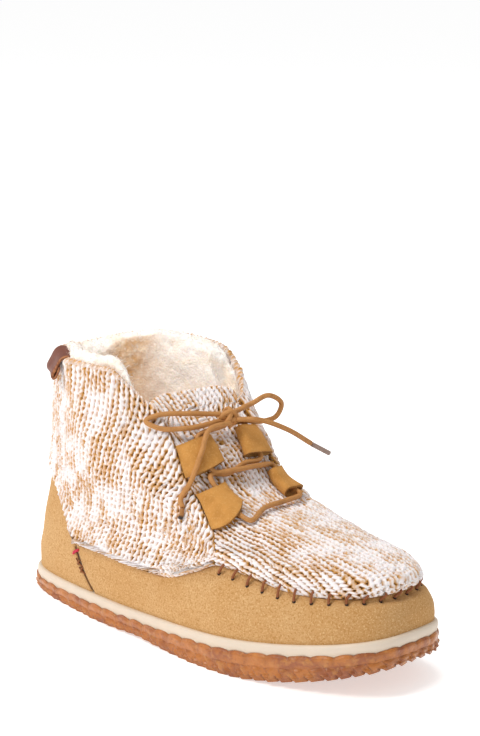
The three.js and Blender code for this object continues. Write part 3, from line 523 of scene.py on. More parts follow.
@dataclass(frozen=True)
class Finish:
    """Surface of a real material: colours as sRGB hex, roughness and the sizes of its grain."""

    name: str
    base: str
    second: str = ""
    third: str = ""
    roughness: float = 0.8
    specular: float = 0.5
    sheen: float = 0.0
    sheen_tint: str = "FFFFFF"
    coat: float = 0.0
    soft: float = 0.0
    soft_mm: float = 2.0
    speckles: tuple[Speckle, ...] = ()
    bumps: tuple[tuple[float, float], ...] = ()
    glow: float = 0.0
    glow_tint: str = "FFFFFF"

    def material(self) -> bpy.types.Material:
        """The finish as a material, made once.

        Returns:
            A material whose colour is mixed by the tint attribute and then towards each speckle's colour by
            its noise, with one bump for each grain.
        """
        found = bpy.data.materials.get(self.name)
        if found:
            return found
        made = bpy.data.materials.new(self.name)
        made.use_nodes = True
        made.diffuse_color = linear(self.base)
        tree = made.node_tree
        shader = tree.nodes["Principled BSDF"]
        values = {
            "Base Color": linear(self.base), "Roughness": self.roughness, "Specular IOR Level": self.specular,
            "Sheen Weight": self.sheen, "Sheen Tint": linear(self.sheen_tint), "Coat Weight": self.coat,
            "Coat Roughness": 0.25, "Subsurface Weight": self.soft, "Subsurface Radius": (1.0, 0.6, 0.35),
            "Subsurface Scale": self.soft_mm * MM, "Emission Color": linear(self.glow_tint),
            "Emission Strength": self.glow,
        }
        for name, value in values.items():
            shader.inputs[name].default_value = value
        place = node(tree, "ShaderNodeTexCoord", {}).outputs["Object"]
        colour = self.tinted(tree)
        for speckle in self.speckles:
            colour = self.speckled(tree, speckle, place, colour)
        if colour is not None:
            tree.links.new(colour, shader.inputs["Base Color"])
        relief = None
        for size_mm, height_mm in self.bumps:
            grain = {"Scale": PER_METRE / size_mm, "Detail": 2.0}
            links = {"Height": node(tree, "ShaderNodeTexNoise", grain, {"Vector": place}).outputs["Fac"]}
            if relief is not None:
                links["Normal"] = relief
            height = {"Distance": height_mm * MM, "Strength": 1.0}
            relief = node(tree, "ShaderNodeBump", height, links).outputs[0]
        if relief is not None:
            tree.links.new(relief, shader.inputs["Normal"])
        return made

    def tinted(self, tree: Tree) -> Socket | None:
        """Colour by the tint attribute.

        Args:
            tree: The material's node tree.
        Returns:
            Colour from base to second, or, where there is a third, from base over second at 0.75 to third;
            None for a finish of one colour.
        """
        if not self.second:
            return None
        share = node(tree, "ShaderNodeAttribute", {}, attribute_name="tint").outputs["Fac"]
        if not self.third:
            pair = {6: linear(self.base), 7: linear(self.second)}
            return node(tree, "ShaderNodeMix", pair, {0: share}, data_type="RGBA").outputs[2]
        ramp = node(tree, "ShaderNodeValToRGB", {}, {0: share})
        stops = ramp.color_ramp.elements
        stops[0].color = linear(self.base)
        stops[1].color = linear(self.third)
        stops.new(0.75).color = linear(self.second)
        return ramp.outputs[0]

    def speckled(self, tree: Tree, speckle: Speckle, place: Socket, colour: Socket | None) -> Socket:
        """Colour mixed towards a speckle's by its noise: not at all at its low value, fully at its high one.

        Args:
            tree: The material's node tree.
            speckle: The layer of noise.
            place: Coordinates that the noise follows.
            colour: Colour so far, or None for base.
        Returns:
            The mixed colour.
        """
        grain = {"Scale": PER_METRE / speckle.size_mm, "Detail": speckle.detail}
        noise = node(tree, "ShaderNodeTexNoise", grain, {"Vector": place})
        limits = {"From Min": speckle.low, "From Max": speckle.high, "To Max": speckle.strength}
        share = node(tree, "ShaderNodeMapRange", limits, {"Value": noise.outputs["Fac"]})
        values = {7: linear(speckle.colour)}
        links = {0: share.outputs[0]}
        if colour is None:
            values[6] = linear(self.base)
        else:
            links[6] = colour
        return node(tree, "ShaderNodeMix", values, links, data_type="RGBA").outputs[2]


# Wool and acrylic marl, knitted on a coarse gauge: matt, with a fine halo of fibres; its dark brown third
# colour is painted shade in the deepest hollows
KNIT = Finish(
    "marled_knit", "F6F0F0", "CB923F", "5E3718", roughness=0.95, specular=0.12, sheen=0.15, soft=0.05,
    soft_mm=1.0, speckles=(Speckle(0.8, "C8945A", 0.6, 0.78, 0.2), Speckle(1.1, "FFFFFC", 0.58, 0.74, 0.3)),
    bumps=((0.45, 0.25),),
)
# Cow suede, brushed: matt, golden tan, with a fine mottled nap
SUEDE = Finish(
    "tan_suede", "C69C6A", "8F6330", roughness=0.95, specular=0.12, sheen=0.2, sheen_tint="F0D8B0",
    speckles=(
        Speckle(26.0, "BC8D56", 0.4, 0.65, 0.5, 2.0), Speckle(1.0, "A8773F", 0.49, 0.64, 0.7, 4.0),
        Speckle(0.8, "E6C592", 0.54, 0.7, 0.5, 4.0),
    ),
    bumps=((0.8, 0.16), (3.5, 0.2)),
)
# The same hide for the tabs, darker, with raw brown edges
TAB_SUEDE = Finish(
    "tab_suede", "C58D4A", "744A20", roughness=0.95, specular=0.12, sheen=0.2, sheen_tint="E8CC9C",
    speckles=(Speckle(9.0, "A26E33", 0.42, 0.65, 0.5, 2.0), Speckle(1.0, "D0A060", 0.52, 0.7, 0.55, 4.0)),
    bumps=((0.8, 0.2), (3.0, 0.25)),
)
# Foamed EVA foxing, moulded: smooth with a low satin gloss
CREAM = Finish(
    "cream_foam", "D6C7B5", "C9B08C", roughness=0.5, specular=0.35, soft=0.05, soft_mm=2.0,
    speckles=(Speckle(9.0, "DCCBB8", 0.45, 0.7, 0.5, 2.0),), bumps=((2.5, 0.08),),
)
# Natural gum rubber, moulded: amber with brown clouds and a satin gloss on its edges
GUM = Finish(
    "gum_rubber", "B36E32", "5E2F1C", roughness=0.38, specular=0.35, coat=0.2, soft=0.05, soft_mm=2.0,
    speckles=(
        Speckle(10.0, "8A4B2E", 0.46, 0.6, 0.75, 4.0), Speckle(5.0, "C98B48", 0.55, 0.7, 0.55, 4.0),
        Speckle(2.0, "74402A", 0.56, 0.7, 0.4, 3.0),
    ),
    bumps=((1.4, 0.3), (5.0, 0.5)),
)
# Sheared pile lining: cream plush; its golden second colour is painted shade where it lies deep, and its faint
# warm glow is painted light that brightens the pile
PLUSH = Finish(
    "cream_plush", "FFF8F2", "CC9238", roughness=1.0, specular=0.05, sheen=0.3, soft=0.12, soft_mm=3.0,
    speckles=(Speckle(9.0, "FAE6CC", 0.47, 0.64, 0.5), Speckle(1.6, "FFFCF6", 0.5, 0.7, 0.4)),
    bumps=((1.2, 0.6), (4.5, 0.9)), glow=0.07, glow_tint="FFEEDD",
)
# Round waxed leather lace: warm brown with a low sheen
LACE = Finish(
    "lace_leather", "B98146", "6E4520", roughness=0.55, specular=0.4,
    speckles=(Speckle(5.0, "9C6831", 0.45, 0.68, 0.55), Speckle(0.8, "CC9C62", 0.55, 0.75, 0.45)),
    bumps=((0.7, 0.1),),
)
# Vegetable-tanned leather tab: red brown, smooth, with a paler cut edge
LABEL = Finish(
    "brown_leather", "70371F", "B0764A", roughness=0.5, specular=0.4,
    speckles=(Speckle(4.0, "5C2815", 0.45, 0.65, 0.5), Speckle(0.9, "87492B", 0.55, 0.75, 0.4)),
    bumps=((0.8, 0.08),),
)
# Thick waxed thread of the moccasin seam: rust brown, nearly matt
THREAD = Finish("rust_thread", "864A20", "4A2A14", roughness=0.6, bumps=((0.5, 0.15),))
# Thinner thread of the side seam: brown, its sunken line darker
SEAM_THREAD = Finish("brown_seam_thread", "84491F", "6B4524", roughness=0.7, bumps=((0.5, 0.1),))
# Dyed cotton of the bar tack: the one red spot
RED_THREAD = Finish("red_thread", "C2123C", roughness=0.6, bumps=((0.5, 0.1),))
# Shadowed suede in a stitch hole
HOLE_SHADOW = Finish("stitch_hole", "2E1D12", roughness=0.9)
# Shrunk plastic sleeves on the lace's ends: one smoky and glossy, one brown with a dark tip
SLEEVE = Finish("lace_sleeve", "9C8478", roughness=0.3, speckles=(Speckle(2.0, "7A5A48", 0.5, 0.7, 0.5),))
DARK_SLEEVE = Finish("brown_sleeve", "A06C38", "2A1B12", roughness=0.4)
# Seamless white paper, lit from behind: an even white
BACKDROP = Finish("white_backdrop", "F5F5F5", roughness=0.95, specular=0.0, glow=0.52)


@dataclass(frozen=True)
class Gauge:
    """Chunky stocking stitch: pitch of wales and courses, and one leg of a stitch with its lean."""

    wale: float = 6.6
    course: float = 3.4
    relief: float = 1.9
    lean: float = 0.4
    leg_width: float = 1.05
    leg_length: float = 2.9

    def relief_and_tint(self, uv: Array, seed: int) -> tuple[Array, Array]:
        """Height of the yarn and share of the caramel colour.

        Each wale is a column of V stitches, so each half of it holds one leg for each course. A leg is a dome
        that leans outwards at its top, sqrt(1 - (t / width)^2) * sqrt(1 - (s / length)^4) with s along it and
        t across it; the highest of three neighbours counts. Caramel shows in the hollows, partly as the marl's
        caramel yarn and partly as painted shade of the relief, more of them where a cloudy noise is high, and
        there in some whole legs too. The lowest hollows, where the cloud is high, get painted shade towards
        dark brown.

        Args:
            uv: Map in millimetres, across and along the wales.
            seed: Another marl for each seed.
        Returns:
            Height in millimetres, and tint from 0 to 1.
        """
        wander = np.stack([drift(uv, 15.0, seed), drift(uv, 12.0, seed + 1)], axis=-1) * 1.2
        wander += np.stack([drift(uv, 6.0, seed + 2), drift(uv, 5.5, seed + 3)], axis=-1) * 0.35
        u, v = np.moveaxis(uv + wander, -1, 0)
        half = np.floor(2 * u / self.wale)
        side = np.where(half % 2 == 1, 1.0, -1.0)
        across = u - (half + 0.5) * self.wale / 2
        column = np.floor(u / self.wale)
        v = v + 0.3 * self.course * chance(np.stack([column, 0 * column], axis=-1).astype(np.int64), seed + 9)
        row = np.floor(v / self.course)
        height, mark = np.zeros(u.shape), np.ones(u.shape)
        for k in (-1, 0, 1):
            cell = np.stack([half, row + k], axis=-1).astype(np.int64)
            own, other = chance(cell, seed + 5), chance(cell, seed + 6)
            lean = self.lean * (0.75 + 0.5 * other)
            up = v - (row + k + 0.5) * self.course
            s = up * np.cos(lean) + side * across * np.sin(lean)
            t = across * np.cos(lean) - side * up * np.sin(lean)
            width = self.leg_width * (0.8 + 0.45 * own)
            round_across = np.maximum(0, 1 - (t / width) ** 2)
            dome = np.sqrt(round_across * np.maximum(0, 1 - (s / self.leg_length) ** 4))
            # The yarn's plies, as fine slanted ridges on the dome
            dome *= 0.85 + 0.3 * other + 0.08 * np.cos(2 * np.pi * (s / 1.5 + t / 2.2))
            mark = np.where(dome > height, own, mark)
            height = np.maximum(height, dome)
        cloud = 0.5 * drift(uv * [1.0, 0.55], 12.0, seed + 7) + drift(uv * [1.0, 0.5], 4.2, seed + 8)
        cloud = np.clip(0.52 + 0.62 * cloud, 0, 1)
        line = 0.55 * step(0.0, 0.5, cloud) + 0.3 * cloud + 0.3 * (mark - 0.5)
        line += 0.15 * drift(uv, 1.3, seed + 10)
        # Caramel in the hollows: partly the marl's caramel yarn, partly painted shade of the relief
        hollow = step(line + 0.24, line - 0.3, height) * 0.72
        legs = step(0.0, 0.15, 0.03 + 0.2 * cloud**2 - mark) * 0.5
        # Painted shade in the lowest hollows where the cloud is high: the tint goes past 0.75, towards dark
        # brown
        deep_hollow_shade = 0.3 * step(0.42, 0.1, height) * step(0.3, 0.8, cloud)
        return height * self.relief, np.clip(np.maximum(hollow, legs) + deep_hollow_shade, 0, 1)


GAUGE = Gauge()


def path_lengths(points: Array, axis: int) -> Array:
    """Length from the first point along an axis of a grid."""
    gaps = np.linalg.norm(np.diff(points, axis=axis), axis=-1)
    start = np.zeros_like(np.take(gaps, [0], axis=axis))
    return np.concatenate([start, np.cumsum(gaps, axis=axis)], axis=axis)


def even_shares(first: float, last: float, level: float, count: int) -> Array:
    """Shares from 0 to 1 between two angles, whose places at a level of the last lie at even distances."""
    share = np.linspace(0, 1, 600)
    line = LAST.face(first + (last - first) * share, np.full(600, level))
    length = path_lengths(line[None], 1)[0]
    return np.interp(np.linspace(0, length[-1], count), length, share)


def grid_normals(points: Array) -> Array:
    """Unit normals of a grid: the cross product of its steps along columns and rows."""
    return unit(np.cross(np.gradient(points, axis=1), np.gradient(points, axis=0)))


def rounded(distance: Array, radius: float) -> Array:
    """Quarter circle from 0 at a border to 1 at a radius from it."""
    t = np.clip(distance / radius, 0, 1)
    return np.sqrt(np.maximum(0, 1 - (1 - t) ** 2))


@dataclass
class Upper:
    """Knit quarters, vamp and tongue.

    The yarn's relief is added less half its height, so that the knit's middle lies on the moved face.
    """

    step_mm: float = 2.0
    edge_radius: float = 2.6
    foot_gap: float = 0.02
    half_relief: float = 0.9
    tongue_top: float = 9.42

    def quarter(self, side: Side) -> Piece:
        """Knit quarter from the heel's middle to the front edge, rolled at its borders.

        The face is moved out by the step times a quarter circle of the distance to the nearest free border, a
        swell beside the border, and the yarn's height. The map is the length along the level from the heel,
        and the height, both carried on round the rolled borders.

        Args:
            side: Side of the shoe; the inner one, which the camera doesn't see, has a coarser grid.
        Returns:
            The piece.
        """
        outer = side is Side.OUTER
        rows, cols = (250, 330) if outer else (205, 270)
        i = 1 - np.linspace(1, 0, cols)[None, :] ** 1.25
        j = np.linspace(0, 1, rows)[:, None] ** 1.35
        level = np.full((rows, cols), LAST.throat_level)
        # Angle and level hang on each other at both borders, so they are worked out in rounds
        for _ in range(16):
            angle = LAST.edge(level, side) * i
            foot = LAST.suede_top(angle) + self.foot_gap
            level = foot + (LAST.collar_top(angle) - foot) * j
        turned = angle * side
        base = LAST.face(turned, level)
        normal = LAST.normal(turned, level)
        along = path_lengths(base, 1)
        front = along[:, -1:] - along
        up = path_lengths(base, 0)
        roll_front, roll_foot = rounded(front, self.edge_radius), rounded(up, self.edge_radius)
        uv = np.stack([(along + 3 * (1 - roll_front)) * side, base[..., 2] - 3 * (1 - roll_foot)], axis=-1)
        relief, tint = GAUGE.relief_and_tint(uv, 11 if outer else 47)
        shape = np.minimum(roll_front, roll_foot)
        swell = 0.9 * bell(front, 3.2, 2.6) + 0.9 * bell(up, 3.2, 2.6)
        body = (self.step_mm + swell) * shape - 0.7 * (1 - shape)
        soft = 0.5 * layers(uv, 14.0, 3)
        move = body + (relief - self.half_relief) * (0.35 + 0.65 * shape) + soft * shape
        points = base + normal * move[..., None]
        # Darker caramel along the front edge: partly the rolled edge's yarn, partly painted shade of the step
        # onto the vamp; a little darker along the foot as well
        rim = step(1.8, 0.4, front) * 0.75 + step(self.edge_radius, 0.4, up) * 0.3
        shell = Shell("knit_quarter_outer" if outer else "knit_quarter_inner")
        shell.grid(points, uv, np.clip(tint + rim, 0, 1), flip=not outer)
        self.hem(shell, points[-1], normal[-1], uv[-1], side)
        return shell.build(KNIT)

    @staticmethod
    def hem(shell: Shell, edge: Array, normal: Array, uv: Array, side: Side) -> None:
        """Rolled hem over the collar's edge: a half circle, with beads, from the outer face to the lining.

        Args:
            shell: Shell that it is added to.
            edge: The quarter's uppermost row of points.
            normal: Outward normals there.
            uv: Map of that row.
            side: Side of the shoe.
        """
        turn = np.append(np.linspace(0, np.pi, 12), [np.pi, np.pi])[:, None]
        sink = np.append(np.zeros(12), [3.0, 7.0])[:, None]
        up = np.array([0.0, 0.0, 1.0])
        width, height, stitch = 3.4, 1.9, 3.3
        along = path_lengths(edge[None], 1)
        bead = 0.3 * np.cos(2 * np.pi * along / stitch) * np.sin(turn)
        inward = -(1 - np.cos(turn)) * width / 2
        rise = np.sin(turn) * height + bead - sink
        points = edge[None] + normal[None] * inward[..., None] + up * rise[..., None]
        tint = 0.25 + 0.3 * np.sin(2 * np.pi * along / stitch + 1.2) + 0.5 * layers(edge, 5.0, 13)
        hem_map = uv[None] + np.stack([0 * turn, turn * 1.5], axis=-1)
        tint = np.clip(tint * np.sin(turn) + 0.2, 0, 1)
        shell.grid(points, hem_map, tint, flip=side is Side.INNER)

    def vamp(self) -> Piece:
        """Knit vamp from the moccasin seam up over the foot to the throat, with wales that run lengthwise.

        The map's second axis is the distance along the shoe, its first the distance across from the ridge;
        the drop below the ridge is shared between them by the direction from the middle of the forefoot.
        Towards the toe, where the ridge itself drops, its height goes on along a chord.

        Returns:
            The piece.
        """
        rows, cols = 215, 320
        side = np.pi / 2
        angle = side + np.pi * even_shares(side, 2 * np.pi - side, 5.0, cols)[None, :]
        low = LAST.suede_top(angle) - self.foot_gap
        level = low + (LAST.throat_level + 0.12 - low) * np.linspace(0, 1, rows)[:, None] ** 1.3
        base = LAST.face(angle, level)
        normal = LAST.normal(angle, level)
        ridge = LAST.face(np.full(80, np.pi), np.linspace(3.0, 9.0, 80))
        ridge_x, ridge_y, ridge_z = ridge[np.argsort(ridge[:, 0])].T
        x = base[..., 0]
        chord_start, forefoot, chord_end = 45.0, 55.0, 95.0
        rear, front = np.interp((chord_start, chord_end), ridge_x, ridge_z)
        chord = rear + (front - rear) / (chord_end - chord_start) * (x - chord_start)
        high = np.where(x < chord_start, np.interp(x, ridge_x, ridge_z), chord)
        drop = np.maximum(0, high - base[..., 2])
        across = base[..., 1] - np.interp(x, ridge_x, ridge_y)
        forward = np.maximum(0, x - forefoot)
        reach = np.hypot(forward, across) + 1e-3
        uv = np.stack([across * (1 + drop / reach), x * 1.08 + drop * forward / reach], axis=-1)
        relief, tint = GAUGE.relief_and_tint(uv, 83)
        up = path_lengths(base, 0)
        top = up[-1:] - up
        shape = np.minimum(rounded(up, 3.2), rounded(top, 2.4))
        body = (0.8 + 2.0 * bell(up, 3.6, 4.0)) * shape - 0.9 * (1 - shape)
        dip = self.puckers(angle, up)
        soft = 0.5 * layers(uv, 16.0, 29)
        move = body + (relief - self.half_relief) * (0.35 + 0.65 * shape) + soft * shape - dip
        return sheet("knit_vamp", KNIT, base + normal * move[..., None], uv, tint)

    @staticmethod
    def puckers(angle: Array, up: Array) -> Array:
        """Dips where the whip stitches pull the knit's edge in: narrow bells that fade upwards."""
        nearest = np.min(np.abs(angle[0][:, None] - seam_angles()[None, :]), axis=1)
        return 1.1 * bell(nearest, 0, 0.014)[None, :] * bell(up, 0, 4.5)

    def tongue(self) -> Piece:
        """Knit tongue under the throat: rounded at its top corners, with upright wales, evenly sampled.

        Returns:
            The piece.
        """
        rows, cols, overlap = 165, 165, 0.06
        first = LAST.edge(LAST.collar, Side.OUTER) - overlap
        last = 2 * np.pi - LAST.edge(LAST.collar, Side.INNER) + overlap
        t = 2 * even_shares(first, last, 8.9, cols)[None, :] - 1
        angle, level = self.under_throat(t, 6.0, rows, overlap)
        base = LAST.face(angle, level)
        normal = LAST.normal(angle, level)
        up, along = path_lengths(base, 0), path_lengths(base, 1)
        uv = np.stack([along - along[:, cols // 2 : cols // 2 + 1], up], axis=-1)
        relief, tint = GAUGE.relief_and_tint(uv, 131)
        top_gap = up[-1:] - up
        shape = rounded(top_gap, 2.4)
        move = -0.7 - 2.6 * (1 - shape) + (relief - self.half_relief) * (0.4 + 0.6 * shape)
        move += 0.4 * layers(uv, 12.0, 7)
        edge = step(2.5, 0.0, top_gap) * 0.45
        return sheet("knit_tongue", KNIT, base + normal * move[..., None], uv, np.clip(tint + edge, 0, 1))

    def under_throat(self, t: Array, foot: float, rows: int, overlap: float) -> tuple[Array, Array]:
        """Places of a sheet under the throat, up to the tongue's top edge.

        Args:
            t: Share across, from -1 at the outer quarter to 1 at the inner one.
            foot: Level of the lowest row.
            rows: How many rows.
            overlap: Angle by which the sheet reaches under each quarter.
        Returns:
            Angle and level of each place.
        """
        top = self.tongue_top - 0.3 * np.abs(t) ** 2.5 - 0.22 * np.clip(-t, 0, 1)
        level = foot + (top - foot) * np.linspace(0, 1, rows)[:, None]
        flat = np.minimum(level, LAST.collar)
        outer = LAST.edge(flat, Side.OUTER) - overlap
        inner = 2 * np.pi - LAST.edge(flat, Side.INNER) + overlap
        return outer + (inner - outer) * (t + 1) / 2, level

    def tongue_lining(self) -> Piece:
        """Plush back of the tongue, from its top edge down to the throat."""
        angle, level = self.under_throat(np.linspace(-1, 1, 60)[None, :], 5.9, 60, 0.1)
        base = LAST.face(angle, level)
        up = path_lengths(base, 0)
        depth = 3.3 + 3.0 * rounded(up[-1:] - up, 3.0) + 0.6 * layers(base, 5.0, 5)
        points = base - LAST.normal(angle, level) * depth[..., None]
        # Painted shade: the plush turns golden the deeper it lies below the collar
        tint = np.clip(0.1 + (LAST.collar - level) * 0.25, 0, 0.8)
        return sheet("plush_tongue_back", PLUSH, points, None, tint, flip=True)

    def build(self) -> list[Piece]:
        """Builds the knit pieces and hides the model's upper and tongue."""
        pieces = [self.quarter(Side.OUTER), self.quarter(Side.INNER), self.vamp()]
        for piece in pieces:
            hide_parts("upper")
        tongue = [self.tongue(), self.tongue_lining()]
        for piece, slot in zip(tongue, ("knit", "fleece")):
            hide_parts("tongue")
        return pieces + tongue


def seam_angles() -> Array:
    """Angles of the whip stitches along the moccasin seam, about a pitch apart on the face."""
    first, pitch = 1.87, 9.0
    fine = np.linspace(first, 2 * np.pi - first, 900)
    line = LAST.face(fine, LAST.suede_top(fine))
    run = path_lengths(line[None], 1)[0]
    count = int(run[-1] / pitch)
    return np.interp((np.arange(count) + 0.5) * run[-1] / count, run, fine)


def tube(path: Array, radius: Array | float, sides: int = 10) -> tuple[Array, Array]:
    """Round skin along a path: at each station a circle in the plane across the path.

    Args:
        path: Stations along the middle line.
        radius: Radius, or one for each station.
        sides: Points round each circle.
    Returns:
        Grid of points, station by side, and its map.
    """
    tangent = unit(np.gradient(path, axis=0))
    across = np.zeros_like(tangent)
    start = np.cross(tangent[0], [0.0, 0.0, 1.0])
    across[0] = unit(start if np.linalg.norm(start) > 0.2 else np.cross(tangent[0], [1.0, 0.0, 0.0]))
    for k in range(1, len(path)):
        across[k] = unit(across[k - 1] - tangent[k] * np.dot(across[k - 1], tangent[k]))
    over = np.cross(across, tangent)
    turn = np.linspace(0, 2 * np.pi, sides, endpoint=False)
    points = path[:, None] + circle(across, over, turn) * np.broadcast_to(radius, (len(path),))[:, None, None]
    along = path_lengths(path[None], 1)[0]
    uv = np.stack(np.broadcast_arrays(turn[None, :] * 1.4, along[:, None]), axis=-1)
    return points, uv


def curve(points: Array, spacing: float = 0.9) -> Array:
    """Centripetal Catmull-Rom curve through points, evenly spaced.

    Args:
        points: Places that it passes.
        spacing: Distance between the places that it gives.
    Returns:
        Places along the curve.
    """
    p = np.concatenate([[2 * points[0] - points[1]], points, [2 * points[-1] - points[-2]]])
    gaps = np.maximum(np.linalg.norm(np.diff(p, axis=0), axis=1), 1e-6)
    knots = np.concatenate([[0], np.cumsum(gaps**0.5)])
    spans = [np.linspace(knots[k], knots[k + 1], 40, endpoint=False) for k in range(1, len(points))]
    t = np.append(np.concatenate(spans), knots[len(points)])
    i = np.clip(np.searchsorted(knots, t, side="right") - 1, 1, len(points) - 1)
    t0, t1, t2, t3 = (knots[i + k] for k in (-1, 0, 1, 2))
    p0, p1, p2, p3 = (p[i + k] for k in (-1, 0, 1, 2))

    def blend(a: Array, b: Array, ta: Array, tb: Array) -> Array:
        """Line between a at ta and b at tb, at t."""
        return ((tb - t) / (tb - ta))[:, None] * a + ((t - ta) / (tb - ta))[:, None] * b

    a1, a2, a3 = blend(p0, p1, t0, t1), blend(p1, p2, t1, t2), blend(p2, p3, t2, t3)
    b1, b2 = blend(a1, a2, t0, t2), blend(a2, a3, t1, t3)
    fine = blend(b1, b2, t1, t2)
    run = path_lengths(fine[None], 1)[0]
    count = max(4, int(run[-1] / spacing))
    wanted = np.linspace(0, run[-1], count)
    return np.stack([np.interp(wanted, run, fine[:, k]) for k in range(3)], axis=-1)


def add_cord(shell: Shell, path: Array, radius: float, sides: int = 12, tip: float = 0.0) -> None:
    """Adds a cord with rounded ends to a shell: its radius shrinks over two more stations beyond each end.

    Args:
        shell: Shell that it is added to.
        path: Middle line.
        radius: Radius of the cord.
        sides: Points round it.
        tip: Length at its far end that has the second colour.
    """
    cap = np.array([0.02, 0.7])
    lead = unit(path[1] - path[0]) * radius * 0.25
    tail = unit(path[-1] - path[-2]) * radius * 0.25
    start = [path[0] - lead, path[0] - lead * 0.8]
    whole = np.concatenate([start, path, [path[-1] + tail * 0.8, path[-1] + tail]])
    points, uv = tube(whole, np.concatenate([cap, np.ones(len(path)), cap[::-1]]) * radius, sides)
    left = np.linalg.norm(whole - whole[-1], axis=-1)
    tint = np.where(left < tip, 1.0, 0.0)[:, None] * np.ones((1, points.shape[1]))
    shell.grid(points, uv, tint, around=True, flip=True)


def ribbon(shell: Shell, middle: Array, thickness: float, edge_tint: float = 0.5) -> None:
    """Adds a strap: a sheet given its thickness, with cut edges that tint the rim of its faces a little.

    Args:
        shell: Shell that it is added to.
        middle: Grid of points of the sheet's middle.
        thickness: Distance between its faces.
        edge_tint: Share of the second colour on the cut edges.
    """
    half = grid_normals(middle) * (thickness / 2)
    front, back = middle + half, middle - half
    tint = np.full(middle.shape[:2], edge_tint * 0.3)
    tint[1:-1, 1:-1] = 0.0
    shell.grid(front, None, tint)
    shell.grid(back, None, tint, flip=True)
    for edge, turned in ((np.s_[0], True), (np.s_[-1], False), (np.s_[:, 0], False), (np.s_[:, -1], True)):
        shell.grid(np.stack([front[edge], back[edge]]), None, edge_tint, flip=turned)


